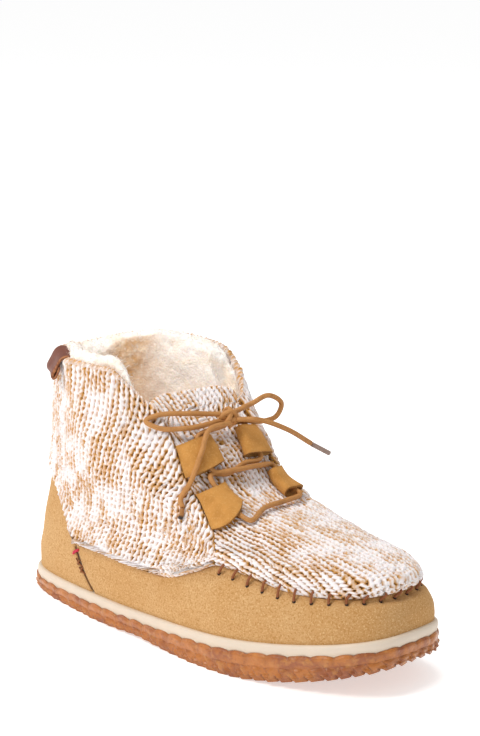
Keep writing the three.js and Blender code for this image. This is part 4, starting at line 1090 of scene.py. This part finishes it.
@dataclass
class SuedeWall:
    """Suede round the side and toe, the counter at the heel, and the sewing on them."""

    gap: float = 0.008
    tuck: float = 0.14
    thread: float = 0.72
    hole: float = 0.95
    seam_foot: float = 1.071
    seam_lean: float = 0.084

    def seam_angle(self, level: Array | float) -> Array | float:
        """Angle of the side seam, which leans back towards its top."""
        return self.seam_foot - self.seam_lean * np.minimum(level, 2.4)

    def panel(self, name: str, front: bool, seed: int) -> Piece:
        """Panel between the side seams, from below the sole line to under the knit's edge.

        The face is moved out by a slow swell, and in where it tucks under the knit, at the side seam and, as
        a narrow bell, at each stitch.

        Args:
            name: Name of the piece.
            front: The wall round the toe, else the counter round the heel.
            seed: Another swell for each seed.
        Returns:
            The piece.
        """
        cols = 350 if front else 175
        t = np.linspace(0, 1, 70)[:, None]
        level = 2.3 * t + np.zeros(cols)
        # The seam's angle hangs on the level and the suede's top on the angle, so this too goes in rounds
        for _ in range(8):
            seam = self.seam_angle(level)
            start = seam + self.gap if front else self.gap - seam
            end = 2 * np.pi - seam - self.gap if front else seam - self.gap
            angle = start + (end - start) * np.linspace(0, 1, cols)[None, :]
            level = (LAST.suede_top(angle) + self.tuck) * t
        base = LAST.face(angle, level)
        up = path_lengths(base, 0)
        under = up[-1:] - up
        along = path_lengths(base, 1)
        side = np.minimum(along, along[:, -1:] - along)
        nearest = np.min(np.abs(angle[..., None] - seam_angles()), axis=-1)
        dent = 0.9 * bell(nearest, 0, 0.022) * bell(under, 3.4, 2.2)
        swell = 0.5 * layers(base, 30.0, seed, 2) + 0.12 * layers(base, 4.0, seed + 3, 2)
        tucked = -1.6 * step(2.4, 0.2, under)
        rim = -1.0 * step(1.2, 0.0, side)
        move = swell * step(0, 3, up) + tucked + rim - dent
        points = base + LAST.normal(angle, level) * move[..., None]
        points[0, :, 2] -= 1.2
        # Painted shadow of the knit's edge where the suede goes under it; darker too along the side seam and
        # at the foot
        tint = 0.5 * step(3.0, 0.4, under) + 0.35 * step(1.6, 0.2, side) + 0.25 * step(2.5, 0.0, up)
        # Painted shade: darker towards the toe
        tint = np.clip(tint + 0.22 * step(80.0, 128.0, base[..., 0]), 0, 1)
        return sheet(name, SUEDE, points, None, tint)

    def whip_stitches(self) -> list[Piece]:
        """Whip stitches over the knit's edge: short cords from a hole in the suede up over the edge, and a
        dark cord sunk in each hole as painted shadow.
        """
        shell = Shell("whip_stitches")
        hole_shadows = Shell("stitch_hole_shadows")
        # Six places of a stitch: levels from the suede's edge and distances out; its foot and top lean apart
        rise = np.array([-0.46, -0.42, -0.28, -0.08, 0.14, 0.3])
        out = np.array([-0.7, 0.5, 1.1, 2.0, 2.6, 1.2])
        lean = 0.016
        for mark in seam_angles():
            level = float(LAST.suede_top(np.array([mark]))[0])
            turn = mark + lean * np.array([-1.0, -0.9, -0.5, 0.1, 0.7, 1.1])
            add_cord(shell, curve(LAST.offset(turn, level + rise, out), 0.5), self.thread, 8)
            # A dark cord sunk in the suede at each stitch's foot: painted shadow in the hole
            foot = np.array([level - 0.49])
            depth = np.array([-0.6, -0.2, 0.15])[:, None]
            path = LAST.face(np.array([mark - lean]), foot) + LAST.normal(np.array([mark]), foot) * depth
            add_cord(hole_shadows, path, self.hole, 8)
        return [shell.build(THREAD), hole_shadows.build(HOLE_SHADOW)]

    def stitch(
        self, side: Side, levels: tuple[float, float], width: float, shift: float, out: float
    ) -> Array:
        """Middle line of a slanted stitch over the side seam, bowed outwards by a half sine.

        Args:
            side: Side of the shoe.
            levels: Levels of its rear and front end.
            width: Half its angle.
            shift: Angle of its middle from the seam.
            out: Distance out of its ends.
        Returns:
            Eight places.
        """
        t = np.linspace(0, 1, 8)
        level = levels[0] + (levels[1] - levels[0]) * t
        turn = side * (self.seam_angle(level) + (2 * t - 1) * width + shift)
        return LAST.offset(turn, level, out + 0.4 * np.sin(np.pi * t))

    def seam(self) -> list[Piece]:
        """Side seam of counter and wall: a line of thread, two crosses and a red bar tack on each side."""
        thread = Shell("side_seam_thread")
        bar = Shell("red_bar_tack")
        levels = np.linspace(0.12, 2.1, 30)
        crosses = ((1.22, 1.52, 0.022), (1.5, 1.2, 0.02), (0.86, 1.16, 0.022), (1.1, 0.86, 0.016))
        for side in Side:
            line = LAST.offset(side * self.seam_angle(levels), levels, -0.1)
            add_cord(thread, line, 0.3, 6, tip=1e3)
            for low, high, width in crosses:
                add_cord(thread, self.stitch(side, (low, high), width, 0.0, 0.3), 0.42, 6)
            for low, high, shift in ((1.68, 1.98, -0.006), (1.78, 2.06, 0.004)):
                add_cord(bar, self.stitch(side, (low, high), 0.036, shift, 0.4), 0.55, 7)
        return [thread.build(SEAM_THREAD), bar.build(RED_THREAD)]

    def build(self) -> list[Piece]:
        """Builds wall, counter and sewing."""
        wall = self.panel("suede_side_and_toe", True, 5)
        counter = self.panel("suede_counter", False, 9)
        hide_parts("suede_wall")
        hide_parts("heel_counter")
        return [wall, counter, *self.whip_stitches(), *self.seam()]


@dataclass
class Sole:
    """Gum cup with its lugs, cream band and footbed."""

    stations: int = 1000
    lobes: int = 52
    gum_out: float = 2.6
    gum_lip: float = 1.9
    band_out: float = 2.0
    band_height: float = 6.0
    rim_wave: float = 1.3
    bar_pitch: float = 11.8
    weld: float = 0.002

    def ring(self, offset: Array | float, height: Array | Callable[[Array], Array]) -> Array:
        """Ring of points round the sole.

        Args:
            offset: Distance out from the sole line.
            height: Height at each station, or a function of x.
        Returns:
            One point for each station.
        """
        points = self.line + self.normal * np.broadcast_to(offset, (self.stations,))[:, None]
        points[:, 2] = height(points[:, 0]) if callable(height) else height
        return points

    def prepare(self) -> None:
        """Works out the sole line, once for all rings."""
        self.line, self.normal, self.run = LAST.sole_line(self.stations)
        self.turns = self.run / self.run[-1] * self.lobes

    def floor_grid(self, ring: Array, height: Callable[[Array, Array], Array], cols: int) -> Array:
        """Sheet across a ring: straight strips from each station to the one opposite.

        Args:
            ring: Ring of points, from the heel round the outer side.
            height: Height from x and from the share across.
            cols: Points across.
        Returns:
            Grid of points.
        """
        half = self.stations // 2
        left = ring[: half + 1]
        right = ring[(-np.arange(half + 1)) % self.stations]
        t = np.linspace(0, 1, cols)[None, :, None]
        grid = left[:, None] * (1 - t) + right[:, None] * t
        inside = height(grid[..., 0], np.broadcast_to(t[..., 0], grid.shape[:2]))
        grid[:, 1:-1, 2] = inside[:, 1:-1]
        return grid

    def lid(self, ring: Array, height: float) -> Array:
        """Sheet across a ring, at a height from the upper's lower edge."""
        return self.floor_grid(ring, lambda x, across: LAST.sole_top(x) + height, 4)

    def outsole(self) -> Piece:
        """Gum cup: a lip with shallow lobes, a bulging side, and overlapping leaf-shaped lugs at the bottom.

        The side's outward distance is a soft barrel, plus a dome on each lobe in its upper half and two rows
        of slanted leaves in its lower half; the bottom edge is notched between the leaves.

        Returns:
            The piece.
        """
        flat = np.stack([self.run, self.run * 0], -1)
        turn = self.turns + 0.16 * drift(flat, 21.0, 8)
        lobe = np.abs(np.sin(np.pi * turn)) ** 0.55
        top = LAST.sole_top(self.line[:, 0]) - self.band_height
        bottom = LAST.tread(self.line[:, 0])
        wave = self.rim_wave * (lobe - 0.55) + 0.35 * drift(flat, 5.0, 3)
        rows, tints = [], []
        for share in np.linspace(0, 1, 44):
            height = bottom + (top + wave - bottom) * share
            barrel = self.gum_out * (1 - 0.6 * (1 - share) ** 2.4) - 0.7 * step(0.86, 1.0, share)
            dome = 0.45 * lobe * bell(share, 0.78, 0.2)
            lump = 0.35 * drift(np.stack([self.run, self.run * 0 + share * 13], -1), 4.5, 31)
            upper = (turn * 1.5 + share * 1.3) % 1.0
            lower = (turn * 1.5 + 0.5 + share * 1.5) % 1.0
            fade = [math.exp(-((abs(share - middle) / 0.17) ** 4)) for middle in (0.33, 0.08)]
            leaves = [(1 - leaf) * step(0.0, 0.12, leaf) * f for leaf, f in zip((upper, lower), fade)]
            notch = step(0.14, 0.0, np.minimum(lower, 1 - lower)) * step(0.34, 0.0, share)
            out = barrel + dome + lump + 1.9 * leaves[0] + 2.0 * leaves[1] - 1.6 * notch
            out -= 0.5 * float(share < 0.55)
            rows.append(self.ring(out, height + 2.2 * notch * step(0.25, 0.0, share)))
            # Painted shade: dark in the notches between the lug tips, in a groove at the foot of each leaf,
            # between the lobes near the top, and over the lowest fifth of the side
            groove_shade = step(0.16, 0.0, upper) * fade[0] + step(0.16, 0.0, lower) * fade[1]
            tint = 0.9 * notch + 0.8 * groove_shade + 0.3 * (1 - lobe) * step(0.5, 0.8, share)
            tints.append(np.clip(tint + 0.25 * float(share < 0.2), 0, 1))
        inner = self.gum_out - self.gum_lip
        # The inner lip under the cream band is tinted a little darker: painted shade
        for out, drop in ((self.gum_out - 0.9, -0.15), (inner, -0.5), (inner, -3)):
            rows.append(self.ring(out, top + wave + drop))
            tints.append(np.full(self.stations, 0.2))
        shell = Shell("gum_outsole")
        shell.grid(np.stack(rows), None, np.stack(tints), around=True)
        under = self.ring(self.gum_out * 0.45 - 1.8, rows[0][:, 2] + 0.2)
        # The bevel under the side, the tread and the lid are tinted darker: painted shade
        shell.grid(np.stack([under, rows[0]]), None, 0.4, around=True)

        def tread(x: Array, across: Array) -> Array:
            """Wavy cross bars: a clipped sine along the shoe, whose phase sways twice across it."""
            sway = 0.35 * np.sin(2 * np.pi * across * 2)
            bars = np.clip(1.4 * np.sin(2 * np.pi * (x / self.bar_pitch + sway)) + 0.5, 0, 1)
            return LAST.tread(x) + 0.2 + 2.4 * (1 - bars)

        shell.grid(self.floor_grid(under, tread, 40), None, 0.35)
        shell.grid(self.lid(rows[-1], -self.band_height - 3), None, 0.2, flip=True)
        return shell.build(GUM, merge=self.weld)

    def midsole(self) -> Piece:
        """Cream band: a rounded bead round the foot of the suede, standing in the gum cup."""
        lobe = np.abs(np.sin(np.pi * self.turns)) ** 0.6
        low = LAST.sole_top(self.line[:, 0]) - self.band_height
        face = self.band_out
        # Distance out from the sole line, height over the band's foot, and tint; the tint is painted shade,
        # darker where the band goes down into the gum cup and in under the suede
        profile = (
            (0.4, -2.4, 0.9), (0.6, -2, 0.8), (1.4, -1.2, 0.5), (face - 0.2, 0.4, 0.2), (face + 0.05, 2.4, 0),
            (face, 3.8, 0), (face - 0.25, 4.8, 0), (face - 0.8, 5.45, 0.15), (face - 1.7, 5.75, 0.5),
            (-1, 5.8, 0.8),
        )
        rows = [self.ring(out, low + up + (0.3 * lobe if up < 1 else 0)) for out, up, _ in profile]
        tint = np.array([row[2] for row in profile])[:, None]
        shell = Shell("cream_band")
        shell.grid(np.stack(rows), None, np.broadcast_to(tint, (len(profile), self.stations)), around=True)
        # Both lids are tinted darker too: painted shade
        shell.grid(self.lid(rows[-1], -0.2), None, 0.5, flip=True)
        shell.grid(self.lid(rows[0], -self.band_height - 2.4), None, 0.5)
        return shell.build(CREAM, merge=self.weld)

    def footbed(self) -> Piece:
        """Plush footbed: a sheet across the inside with a lumpy pile, turned down at its border."""
        inset = -6.4
        border = self.ring(inset, lambda x: LAST.sole_top(x) + 3.5)
        foot = self.ring(inset, lambda x: LAST.sole_top(x) + 0.4)

        def pile(x: Array, across: Array) -> Array:
            """Height of the pile, hollowed a little under the foot."""
            place = np.stack([x, across * 80, 0 * x], axis=-1)
            return LAST.sole_top(x) + 4.6 - 1.2 * np.sin(np.pi * across) + 0.7 * layers(place, 6.0, 77)

        shell = Shell("plush_footbed")
        # Golden tint on the footbed: painted shade deep inside the shoe
        shell.grid(self.floor_grid(border, pile, 24), None, 0.35, flip=True)
        shell.grid(np.stack([foot, border]), None, 0.5, around=True)
        shell.grid(self.lid(foot, 0.4), None, 0.5)
        return shell.build(PLUSH, merge=self.weld)

    def build(self) -> list[Piece]:
        """Builds the sole's pieces and hides the model's outsole, midsole and insole."""
        self.prepare()
        pieces = [self.outsole(), self.midsole(), self.footbed()]
        for piece, name, slot in zip(pieces, ("outsole", "midsole", "insole"), ("gum", "cream", "fleece")):
            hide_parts(name)
        return pieces


@dataclass
class Plush:
    """Plush collar and lining."""

    rise: float = 6.5
    rise_inner: float = 2.5
    hairs: int = 6000
    hairy_rows: int = 39

    def collar(self) -> tuple[Piece, Array, Array]:
        """Plush roll over the knit's edge and down inside the shaft.

        Its section runs from the edge over a flat round top and down the wall; towards the quarters' front
        ends it thins out. The pile is two sizes of noise along the normal. The golden tint is painted shade:
        it grows with the depth, more near the back, and most of all in one pocket under the roll of the inner
        side.

        Returns:
            The piece, and the points and normals of its upper part for the loose hairs.
        """
        rows, cols, inset = 80, 400, 0.02
        first = inset - LAST.edge(LAST.collar, Side.INNER)
        turn = np.linspace(first, LAST.edge(LAST.collar, Side.OUTER) - inset, cols)
        # Level, distance inwards from the wall's outer face, height over the knit's edge (share of the rise)
        section = np.array([
            (8.8, 0.6, 0), (9, 1.2, 0.1), (9, 1.5, 0.38), (9, 2.5, 0.72), (9, 4.4, 0.94), (9, 6.8, 1),
            (9, 9.4, 0.88), (9, 11.8, 0.6), (9, 13.4, 0.22), (8.9, 14, 0), (8.6, 13.8, 0), (8.2, 12.6, 0),
            (7.6, 10.8, 0), (6.8, 9.4, 0), (6, 8.4, 0), (5, 7.8, 0), (3.6, 7.4, 0),
        ])
        fine = np.linspace(0, len(section) - 1, rows)
        level, inward, up = (smooth(np.arange(len(section)), section[:, k], fine) for k in range(3))
        ends = np.minimum(step(0, 0.7, turn - turn[0]), step(0, 0.7, turn[-1] - turn))[None, :]
        rise = self.rise_inner + (self.rise - self.rise_inner) * (0.5 + 0.5 * np.sin(turn))
        level = level[:, None] + (LAST.collar_top(turn) - LAST.collar)
        slim = 1 - 0.35 * step(-0.3, 0.4, turn)[None, :]
        base = LAST.offset(turn[None, :], level, -(1.0 + inward[:, None] * slim * (0.3 + 0.7 * ends)))
        base[..., 2] += up[:, None] * rise * (0.3 + 0.7 * ends)
        normal = -grid_normals(base)
        lumps = 1.1 * layers(base, 7.0, 21) + 0.7 * layers(base, 2.6, 27, 2)
        points = base + normal * lumps[..., None]
        # Painted shade: the plush turns golden with depth, more near the back, and most in the pocket under
        # the inner side's roll
        deep = np.clip((9.0 - level) / 2.6, 0, 1) ** 0.8
        heel = step(1.0, 0.15, np.abs(turn + 0.15))
        pocket = step(6.8, 9.0, fine[:, None]) * step(15.0, 13.0, fine[:, None])
        pocket_shade = bell(turn, -0.85, 0.33) * pocket
        tint = deep * (0.1 + 0.4 * heel) + (0.75 + 0.35 * layers(base, 5.0, 35)) * pocket_shade
        tint = np.clip(tint + 0.12 * deep * layers(base, 11.0, 33), 0, 1)
        piece = sheet("plush_collar", PLUSH, points, None, tint, flip=True)
        return piece, points[: self.hairy_rows], normal[: self.hairy_rows]

    def lining(self) -> Piece:
        """Lining of the foot: a sheet inside the wall, all round, up to the throat."""
        angle = np.linspace(0, 2 * np.pi, 170)[None, :]
        level = np.linspace(0.15, 6.2, 40)[:, None]
        # The pile's noise is read off at the flat sheet's places
        base = LAST.offset(angle, level, -6.0)
        points = LAST.offset(angle, level, -6.2 - 0.6 * layers(base, 6.0, 61))
        # Golden tint all over: painted shade deep inside the shaft
        return sheet("plush_lining", PLUSH, points, None, 0.55, flip=True)

    def fuzz(self, points: Array, normals: Array) -> Piece:
        """Loose hairs on the collar: slim three-sided spikes that curl a little, at random places of it.

        Args:
            points: Grid of the collar's upper part.
            normals: Its outward normals.
        Returns:
            The piece.
        """
        random = np.random.default_rng(4)
        flat = random.integers(0, points.shape[0] * points.shape[1], self.hairs)
        root = points.reshape(-1, 3)[flat]
        lean = unit(normals.reshape(-1, 3)[flat] + 0.9 * random.normal(size=(self.hairs, 3)))
        curl = random.normal(size=(self.hairs, 3)) * 0.6
        length = random.uniform(1.4, 3.4, self.hairs)[:, None]
        t = np.array([0.0, 0.35, 0.7, 1.0])[:, None]
        middle = root[:, None] + lean[:, None] * (t * length[:, None]) + curl[:, None] * (t**2)
        side = unit(np.cross(lean, [0.3, 0.5, 0.8]))
        ring = circle(side, np.cross(lean, side), np.array([0, 2, 4]) * np.pi / 3)
        # Radius at the four places of a hair, from root to tip
        radius = np.array([0.16, 0.13, 0.09, 0.02])
        spikes = middle[:, :, None] + ring[:, None] * radius[None, :, None, None]
        shell = Shell("plush_fuzz")
        first = shell.add(spikes, None, 0.0)
        n = np.arange(self.hairs)[:, None, None] * 12
        j = np.arange(3)[None, :, None] * 3
        k = np.arange(3)[None, None, :]
        corners = [n + j + k, n + j + (k + 1) % 3, n + j + 3 + (k + 1) % 3, n + j + 3 + k]
        shell.quads.append(np.stack([c.ravel() for c in corners], axis=-1) + first)
        return shell.build(PLUSH)

    def build(self) -> list[Piece]:
        """Builds the collar, its hairs and the lining."""
        collar, points, normals = self.collar()
        pieces = [collar, self.fuzz(points, normals), self.lining()]
        for piece in pieces[:2]:
            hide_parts("fleece_collar")
        return pieces


@dataclass(frozen=True)
class Tab:
    """Lace tab: levels at its rear and front, and the fold's angles from the ridge."""

    name: str
    side: Side
    rear: tuple[float, float]
    front: tuple[float, float]
    angles: tuple[float, float]

    def place(self, reach: Array, rise: Array) -> tuple[Array, Array]:
        """Angle and level at a reach from quarter (0) to fold (1) and a rise from low (0) to high (1)."""
        rear_level = self.rear[0] + (self.rear[1] - self.rear[0]) * rise
        rear_angle = LAST.edge(rear_level, self.side) + 0.02
        front_angle = np.pi - (self.angles[0] + (self.angles[1] - self.angles[0]) * rise)
        front_level = self.front[0] + (self.front[1] - self.front[0]) * rise
        angle = rear_angle + (front_angle - rear_angle) * reach
        level = rear_level + (front_level - rear_level) * reach
        return (angle if self.side is Side.OUTER else 2 * np.pi - angle), level


TABS = (
    Tab("outer_low", Side.OUTER, (5.6, 6.95), (6.72, 7.31), (0.312, 0.228)),
    Tab("outer_high", Side.OUTER, (7.41, 8.07), (7.71, 8.2), (0.09, 0.048)),
    Tab("inner_high", Side.INNER, (7.6, 8.1), (7.74, 8.27), (0.037, 0.069)),
    Tab("inner_low", Side.INNER, (6.49, 7.28), (6.75, 7.36), (0.175, 0.206)),
)


@dataclass
class LaceUp:
    """Folded suede tabs and the lace through them, with its knot, bow and ends."""

    diameter: float = 2.8
    leaf: float = 1.2
    play: float = 0.7
    clear: float = 0.45

    @property
    def tab_height(self) -> float:
        """Height of a tab over the vamp's face."""
        return 2 * self.leaf + self.diameter + 2 * self.play

    def tab(self, tab: Tab) -> Piece:
        """Strip of suede from the quarter's edge over the lace, round it and back under.

        The strip's middle is a line in reach and height: out at a slowly rising height, a half circle at the
        fold, and back along the vamp's face.

        Args:
            tab: Which tab.
        Returns:
            The piece.
        """
        high = self.clear + self.tab_height - self.leaf / 2
        low = self.clear + self.leaf / 2
        bend = np.linspace(np.pi / 2, -np.pi / 2, 12)
        middle = (high + low) / 2
        over = np.linspace(-0.05, 0.86, 14)
        reach = np.concatenate([over, 0.9 + 0.1 * np.cos(bend), np.linspace(0.86, 0.0, 10)])
        rising = low + 1.2 + (high - low - 1.2) * step(-0.1, 0.55, over)
        height = np.concatenate([rising, middle + (high - low) / 2 * np.sin(bend), np.full(10, low)])
        rise = np.linspace(0, 1, 14)[:, None]
        angle, level = tab.place(reach[None, :], rise)
        points = LAST.offset(angle, level, height[None, :])
        points += (0.15 * layers(points, 6.0, 15))[..., None] * LAST.normal(angle, level)
        shell = Shell("suede_tab_" + tab.name)
        ribbon(shell, points if tab.side is Side.OUTER else points[::-1], self.leaf, 0.75)
        piece = shell.build(TAB_SUEDE)
        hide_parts("lace_tab_" + tab.name)
        return piece

    def over(self, from_ridge: float, level: float, height: float) -> Array:
        """Place over the vamp or tongue, at an angle from the ridge towards the outer side."""
        return LAST.offset(np.array([np.pi - from_ridge]), np.array([level]), height)[0]

    def channel(self, tab: Tab, *rises: float) -> Array:
        """Places of the lace inside a tab, at rises from its lower border (0) to its upper one (1)."""
        angle, level = tab.place(np.full(len(rises), 0.7), np.array(rises))
        return LAST.offset(angle, level, self.clear + self.tab_height / 2)

    def build(self) -> list[Piece]:
        pieces = [self.tab(tab) for tab in TABS]
        low_out, high_out, high_in, low_in = TABS
        height = 3.6
        knot = self.over(-0.02, 8.44, 9.0)
        crossings = np.array([
            knot + [0.6, -2.2, -4.6],
            *self.channel(high_out, 1.1, 0.5, -0.1),
            self.over(0.06, 7.52, height + 1.2), self.over(-0.09, 7.5, height + 1),
            *self.channel(low_in, 1.12, 0.5, -0.15),
            self.over(-0.12, 6.62, height - 1), self.over(0.12, 6.58, height - 1),
            *self.channel(low_out, -0.3, 0.5, 1.35),
            self.over(0.1, 7.5, height - 1.1), self.over(-0.02, 7.62, height - 0.9),
            *self.channel(high_in, -0.12, 0.5, 1.25),
            knot + [0.9, 2.6, -4.4],
        ])
        lace = Shell("lace_through_tabs")
        add_cord(lace, curve(crossings), self.diameter / 2)
        laced = lace.build(LACE)
        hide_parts("lace_crossings")
        knotted = self.knot(knot)
        pieces += [laced, knotted, *self.loose(knot)]
        return pieces

    def knot(self, place: Array) -> Piece:
        """Bow knot: a band round the two strands and the loops' roots, as short cords through each other."""
        shell = Shell("lace_bow_knot")
        strands = (
            [
                (-0.5, -5.5, -0.5), (1.5, -2.6, 2.4), (3.2, 0.4, 3.0), (3.6, 2.6, 0.4), (2.6, 2.2, -3.4),
                (1.0, 0.6, -4.8),
            ],
            [
                (2.6, -4.4, -3.4), (3.4, -1.8, 0.2), (1.6, 0.8, 3.4), (-1.6, 1.4, 3.2), (-2.8, 0.2, -0.4),
                (-1.2, -1.2, -4.0),
            ],
            [(1.2, 5.5, 0.5), (1.8, 2.6, -0.6), (1.6, -0.6, -1.0), (0.8, -3.2, -0.2), (-0.4, -5.4, 0.8)],
            [(3.8, 3.0, -2.4), (3.9, 0.8, -1.2), (3.0, -1.0, -2.4), (3.4, -1.4, -5.2)],
        )
        for strand in strands:
            add_cord(shell, curve(place + np.array(strand), 0.7), self.diameter / 2, 10)
        piece = shell.build(LACE)
        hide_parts("lace_knot")
        return piece

    def loose(self, knot: Array) -> list[Piece]:
        """Bow loops and ends, as free cords that start at the knot.

        Args:
            knot: Place of the knot.
        Returns:
            The pieces.
        """
        routes = {
            "bow_outer": knot + np.array([
                (-1, -4.8, 1.6), (-9, -20, 3), (-18, -34, 3), (-22, -40, 0), (-15, -37, -3.2),
                (-5, -24, -3.4), (0, -4.9, -1.8),
            ]),
            "bow_inner": knot + np.array([
                (1, 4.8, 1.7), (4, 15, 5), (7, 25, 8.5), (9, 34, 3), (8, 31, -4), (4, 22, -6), (2, 4.8, -1.7),
            ]),
            "end_outer": np.array([
                knot + [4.6, -3.2, -2.4], self.over(0.1, 8.2, 10.4), self.over(0.32, 7.85, 10.0),
                self.over(0.6, 7.3, 7.2), self.over(0.96, 6.62, 4.8), self.over(1.05, 6.34, 4.4),
            ]),
            "end_inner": knot + np.array([
                (4.7, 2.5, -1.5), (13, 11, -1.6), (19, 28, -8.8), (22, 44.5, -18.8),
            ]),
        }
        sleeves = {
            "outer": np.array([
                self.over(1.075, 6.27, 4.5), self.over(1.16, 6.0, 4.25), self.over(1.24, 5.73, 4.05),
            ]),
            "inner": knot + np.array([(22.2, 45.2, -19.4), (24.1, 50.6, -22.6), (26, 56, -25.8)]),
        }
        pieces = []
        aglets = {}
        for side, finish, tip in (("outer", DARK_SLEEVE, 1.8), ("inner", SLEEVE, 0.0)):
            shell = Shell("aglet_sleeve_" + side)
            add_cord(shell, curve(sleeves[side], 0.8), self.diameter / 2 * 0.96, tip=tip)
            aglets[side] = shell.build(finish)
            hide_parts("aglet_" + side)
            pieces.append(aglets[side])
        for name, route in routes.items():
            path = curve(route)
            shell = Shell("cord_" + name)
            add_cord(shell, path, self.diameter / 2)
            piece = shell.build(LACE)
            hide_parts("lace_" + name)
            pieces.append(piece)
        return pieces


@dataclass
class PullTab:
    """Leather strap at the back of the collar, from the lining over the edge and folded back under itself."""

    thickness: float = 1.3
    angles: tuple[float, float] = (0.5, 1.2)
    line: tuple[tuple[float, float], ...] = (
        (-5.5, 1.6), (-3, 2.2), (-0.6, 2.2), (1.8, 0.7), (4.2, -3.6), (6.3, -8), (6, -9.6), (4.8, -9),
        (3.4, -6.4), (2.3, -3.2),
    )

    def build(self) -> list[Piece]:
        """Builds the strap: its line, in distance out and height over the collar, carried along the edge."""
        count = 16
        turn = np.linspace(*self.angles, count)
        root = LAST.offset(turn, np.full(count, 9.0), 2.0)
        away = LAST.normal(np.array([sum(self.angles) / 2]), np.array([9.0]))[0]
        away = unit(np.array([away[0], away[1], 0.0]))
        line = curve(np.array([(out, 0.0, up) for out, up in self.line]), 0.8)
        points = root[:, None] + away * line[None, :, :1] + np.array([0, 0, 1.0]) * line[None, :, 2:]
        shell = Shell("leather_pull_tab")
        ribbon(shell, points, self.thickness, 0.9)
        piece = shell.build(LABEL, outwards=True, merge=0.001)
        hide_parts("pull_tab")
        return [piece]


@dataclass
class Studio:
    """White floor, soft lights and the camera."""

    azimuth: float = 42.0
    elevation: float = 16.0
    distance: float = 1200.0
    focal_px: float = 2215.0
    target_px: tuple[float, float] = (216.4, 541.3)
    frame_px: tuple[int, int] = (480, 736)
    sensor_mm: float = 36.0
    aim_height: float = 50.0
    base: float = 15.5
    floor_reach: float = 14000.0

    def camera(self) -> Piece:
        """Camera at the photograph's angle, turned with the sloping bed on which the shoe was measured."""
        turn = math.atan(LAST.bed_slope)
        tilt = np.array([
            [math.cos(turn), 0, -math.sin(turn)], [0, 1, 0], [math.sin(turn), 0, math.cos(turn)],
        ])
        a, e = math.radians(self.azimuth), math.radians(self.elevation)
        back = np.array([math.sin(a) * math.cos(e), -math.cos(a) * math.cos(e), math.sin(e)])
        right = unit(np.cross(-back, [0, 0, 1.0]))
        up = np.cross(right, -back)
        eye = np.array([LAST.length / 2, 0, self.aim_height]) + back * self.distance
        eye = tilt @ (eye - [0, 0, self.base]) + [0, 0, LAST.sole_height] - [*LAST.shift, 0]
        data = bpy.data.cameras.new("camera")
        width, height = self.frame_px
        data.sensor_width = self.sensor_mm
        data.lens = self.focal_px * self.sensor_mm / height
        data.shift_x = (width / 2 - self.target_px[0]) / height
        data.shift_y = (self.target_px[1] - height / 2) / height
        data.clip_start, data.clip_end = 0.05, 20.0
        made = bpy.data.objects.new("camera", data)
        bpy.context.scene.collection.objects.link(made)
        matrix = np.eye(4)
        matrix[:3, 0], matrix[:3, 1], matrix[:3, 2] = tilt @ right, tilt @ up, tilt @ back
        matrix[:3, 3] = eye * MM
        made.matrix_world = Matrix(matrix.tolist())
        bpy.context.scene.camera = made
        return made

    @staticmethod
    def lamp(name: str, place: tuple[float, float, float], size: float, power: float, colour: str) -> None:
        """Square soft light at a place in metres, aimed at the shoe."""
        data = bpy.data.lights.new(name, "AREA")
        data.size, data.energy = size, power
        data.color = linear(colour)[:3]
        made = bpy.data.objects.new(name, data)
        made.location = place
        made.rotation_euler = (Vector((0, 0, 0.06)) - Vector(place)).to_track_quat("-Z", "Y").to_euler()
        bpy.context.scene.collection.objects.link(made)

    def build(self) -> None:
        """Sets up camera, lights, world and floor."""
        self.camera()
        self.lamp("key_light", (-0.35, -1.15, 1.35), 0.55, 12.5, "FFFAF5")
        self.lamp("side_light", (-1.5, -0.3, 0.8), 0.8, 3.5, "FFFFFF")
        self.lamp("top_light", (-0.05, -0.15, 1.7), 0.7, 9.0, "FFFFFF")
        world = bpy.data.worlds.new("studio")
        world.use_nodes = True
        sky = world.node_tree.nodes["Background"].inputs
        sky["Color"].default_value = (1, 1, 1, 1)
        sky["Strength"].default_value = 0.5
        bpy.context.scene.world = world
        bpy.context.scene.view_settings.view_transform = "Standard"
        side = np.linspace(-self.floor_reach, self.floor_reach, 3)
        x, y = np.meshgrid(side, side)
        mesh = bpy.data.meshes.new("studio_floor")
        points = (np.stack([x, y, 0 * x - 0.05], axis=-1).reshape(-1, 3) * MM).tolist()
        faces = [(r * 3 + c, r * 3 + c + 1, r * 3 + c + 4, r * 3 + c + 3) for r in range(2) for c in range(2)]
        mesh.from_pydata(points, [], faces)
        mesh.materials.append(BACKDROP.material())
        made = bpy.data.objects.new("studio_floor", mesh)
        bpy.context.scene.collection.objects.link(made)


def main() -> None:
    """Builds the studio and each sub-assembly in turn."""
    logging.basicConfig(level=logging.INFO, format="%(name)s: %(message)s")
    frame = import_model()
    LOG.info("%d nodes in the frame", len(frame["nodes"]))
    Studio().build()
    for part in (LaceUp(), Sole(), SuedeWall(), Upper(), Plush(), PullTab()):
        for piece in part.build():
            LOG.info("%s: %s", type(part).__name__, piece.name)


if __name__ == "__main__":
    main()
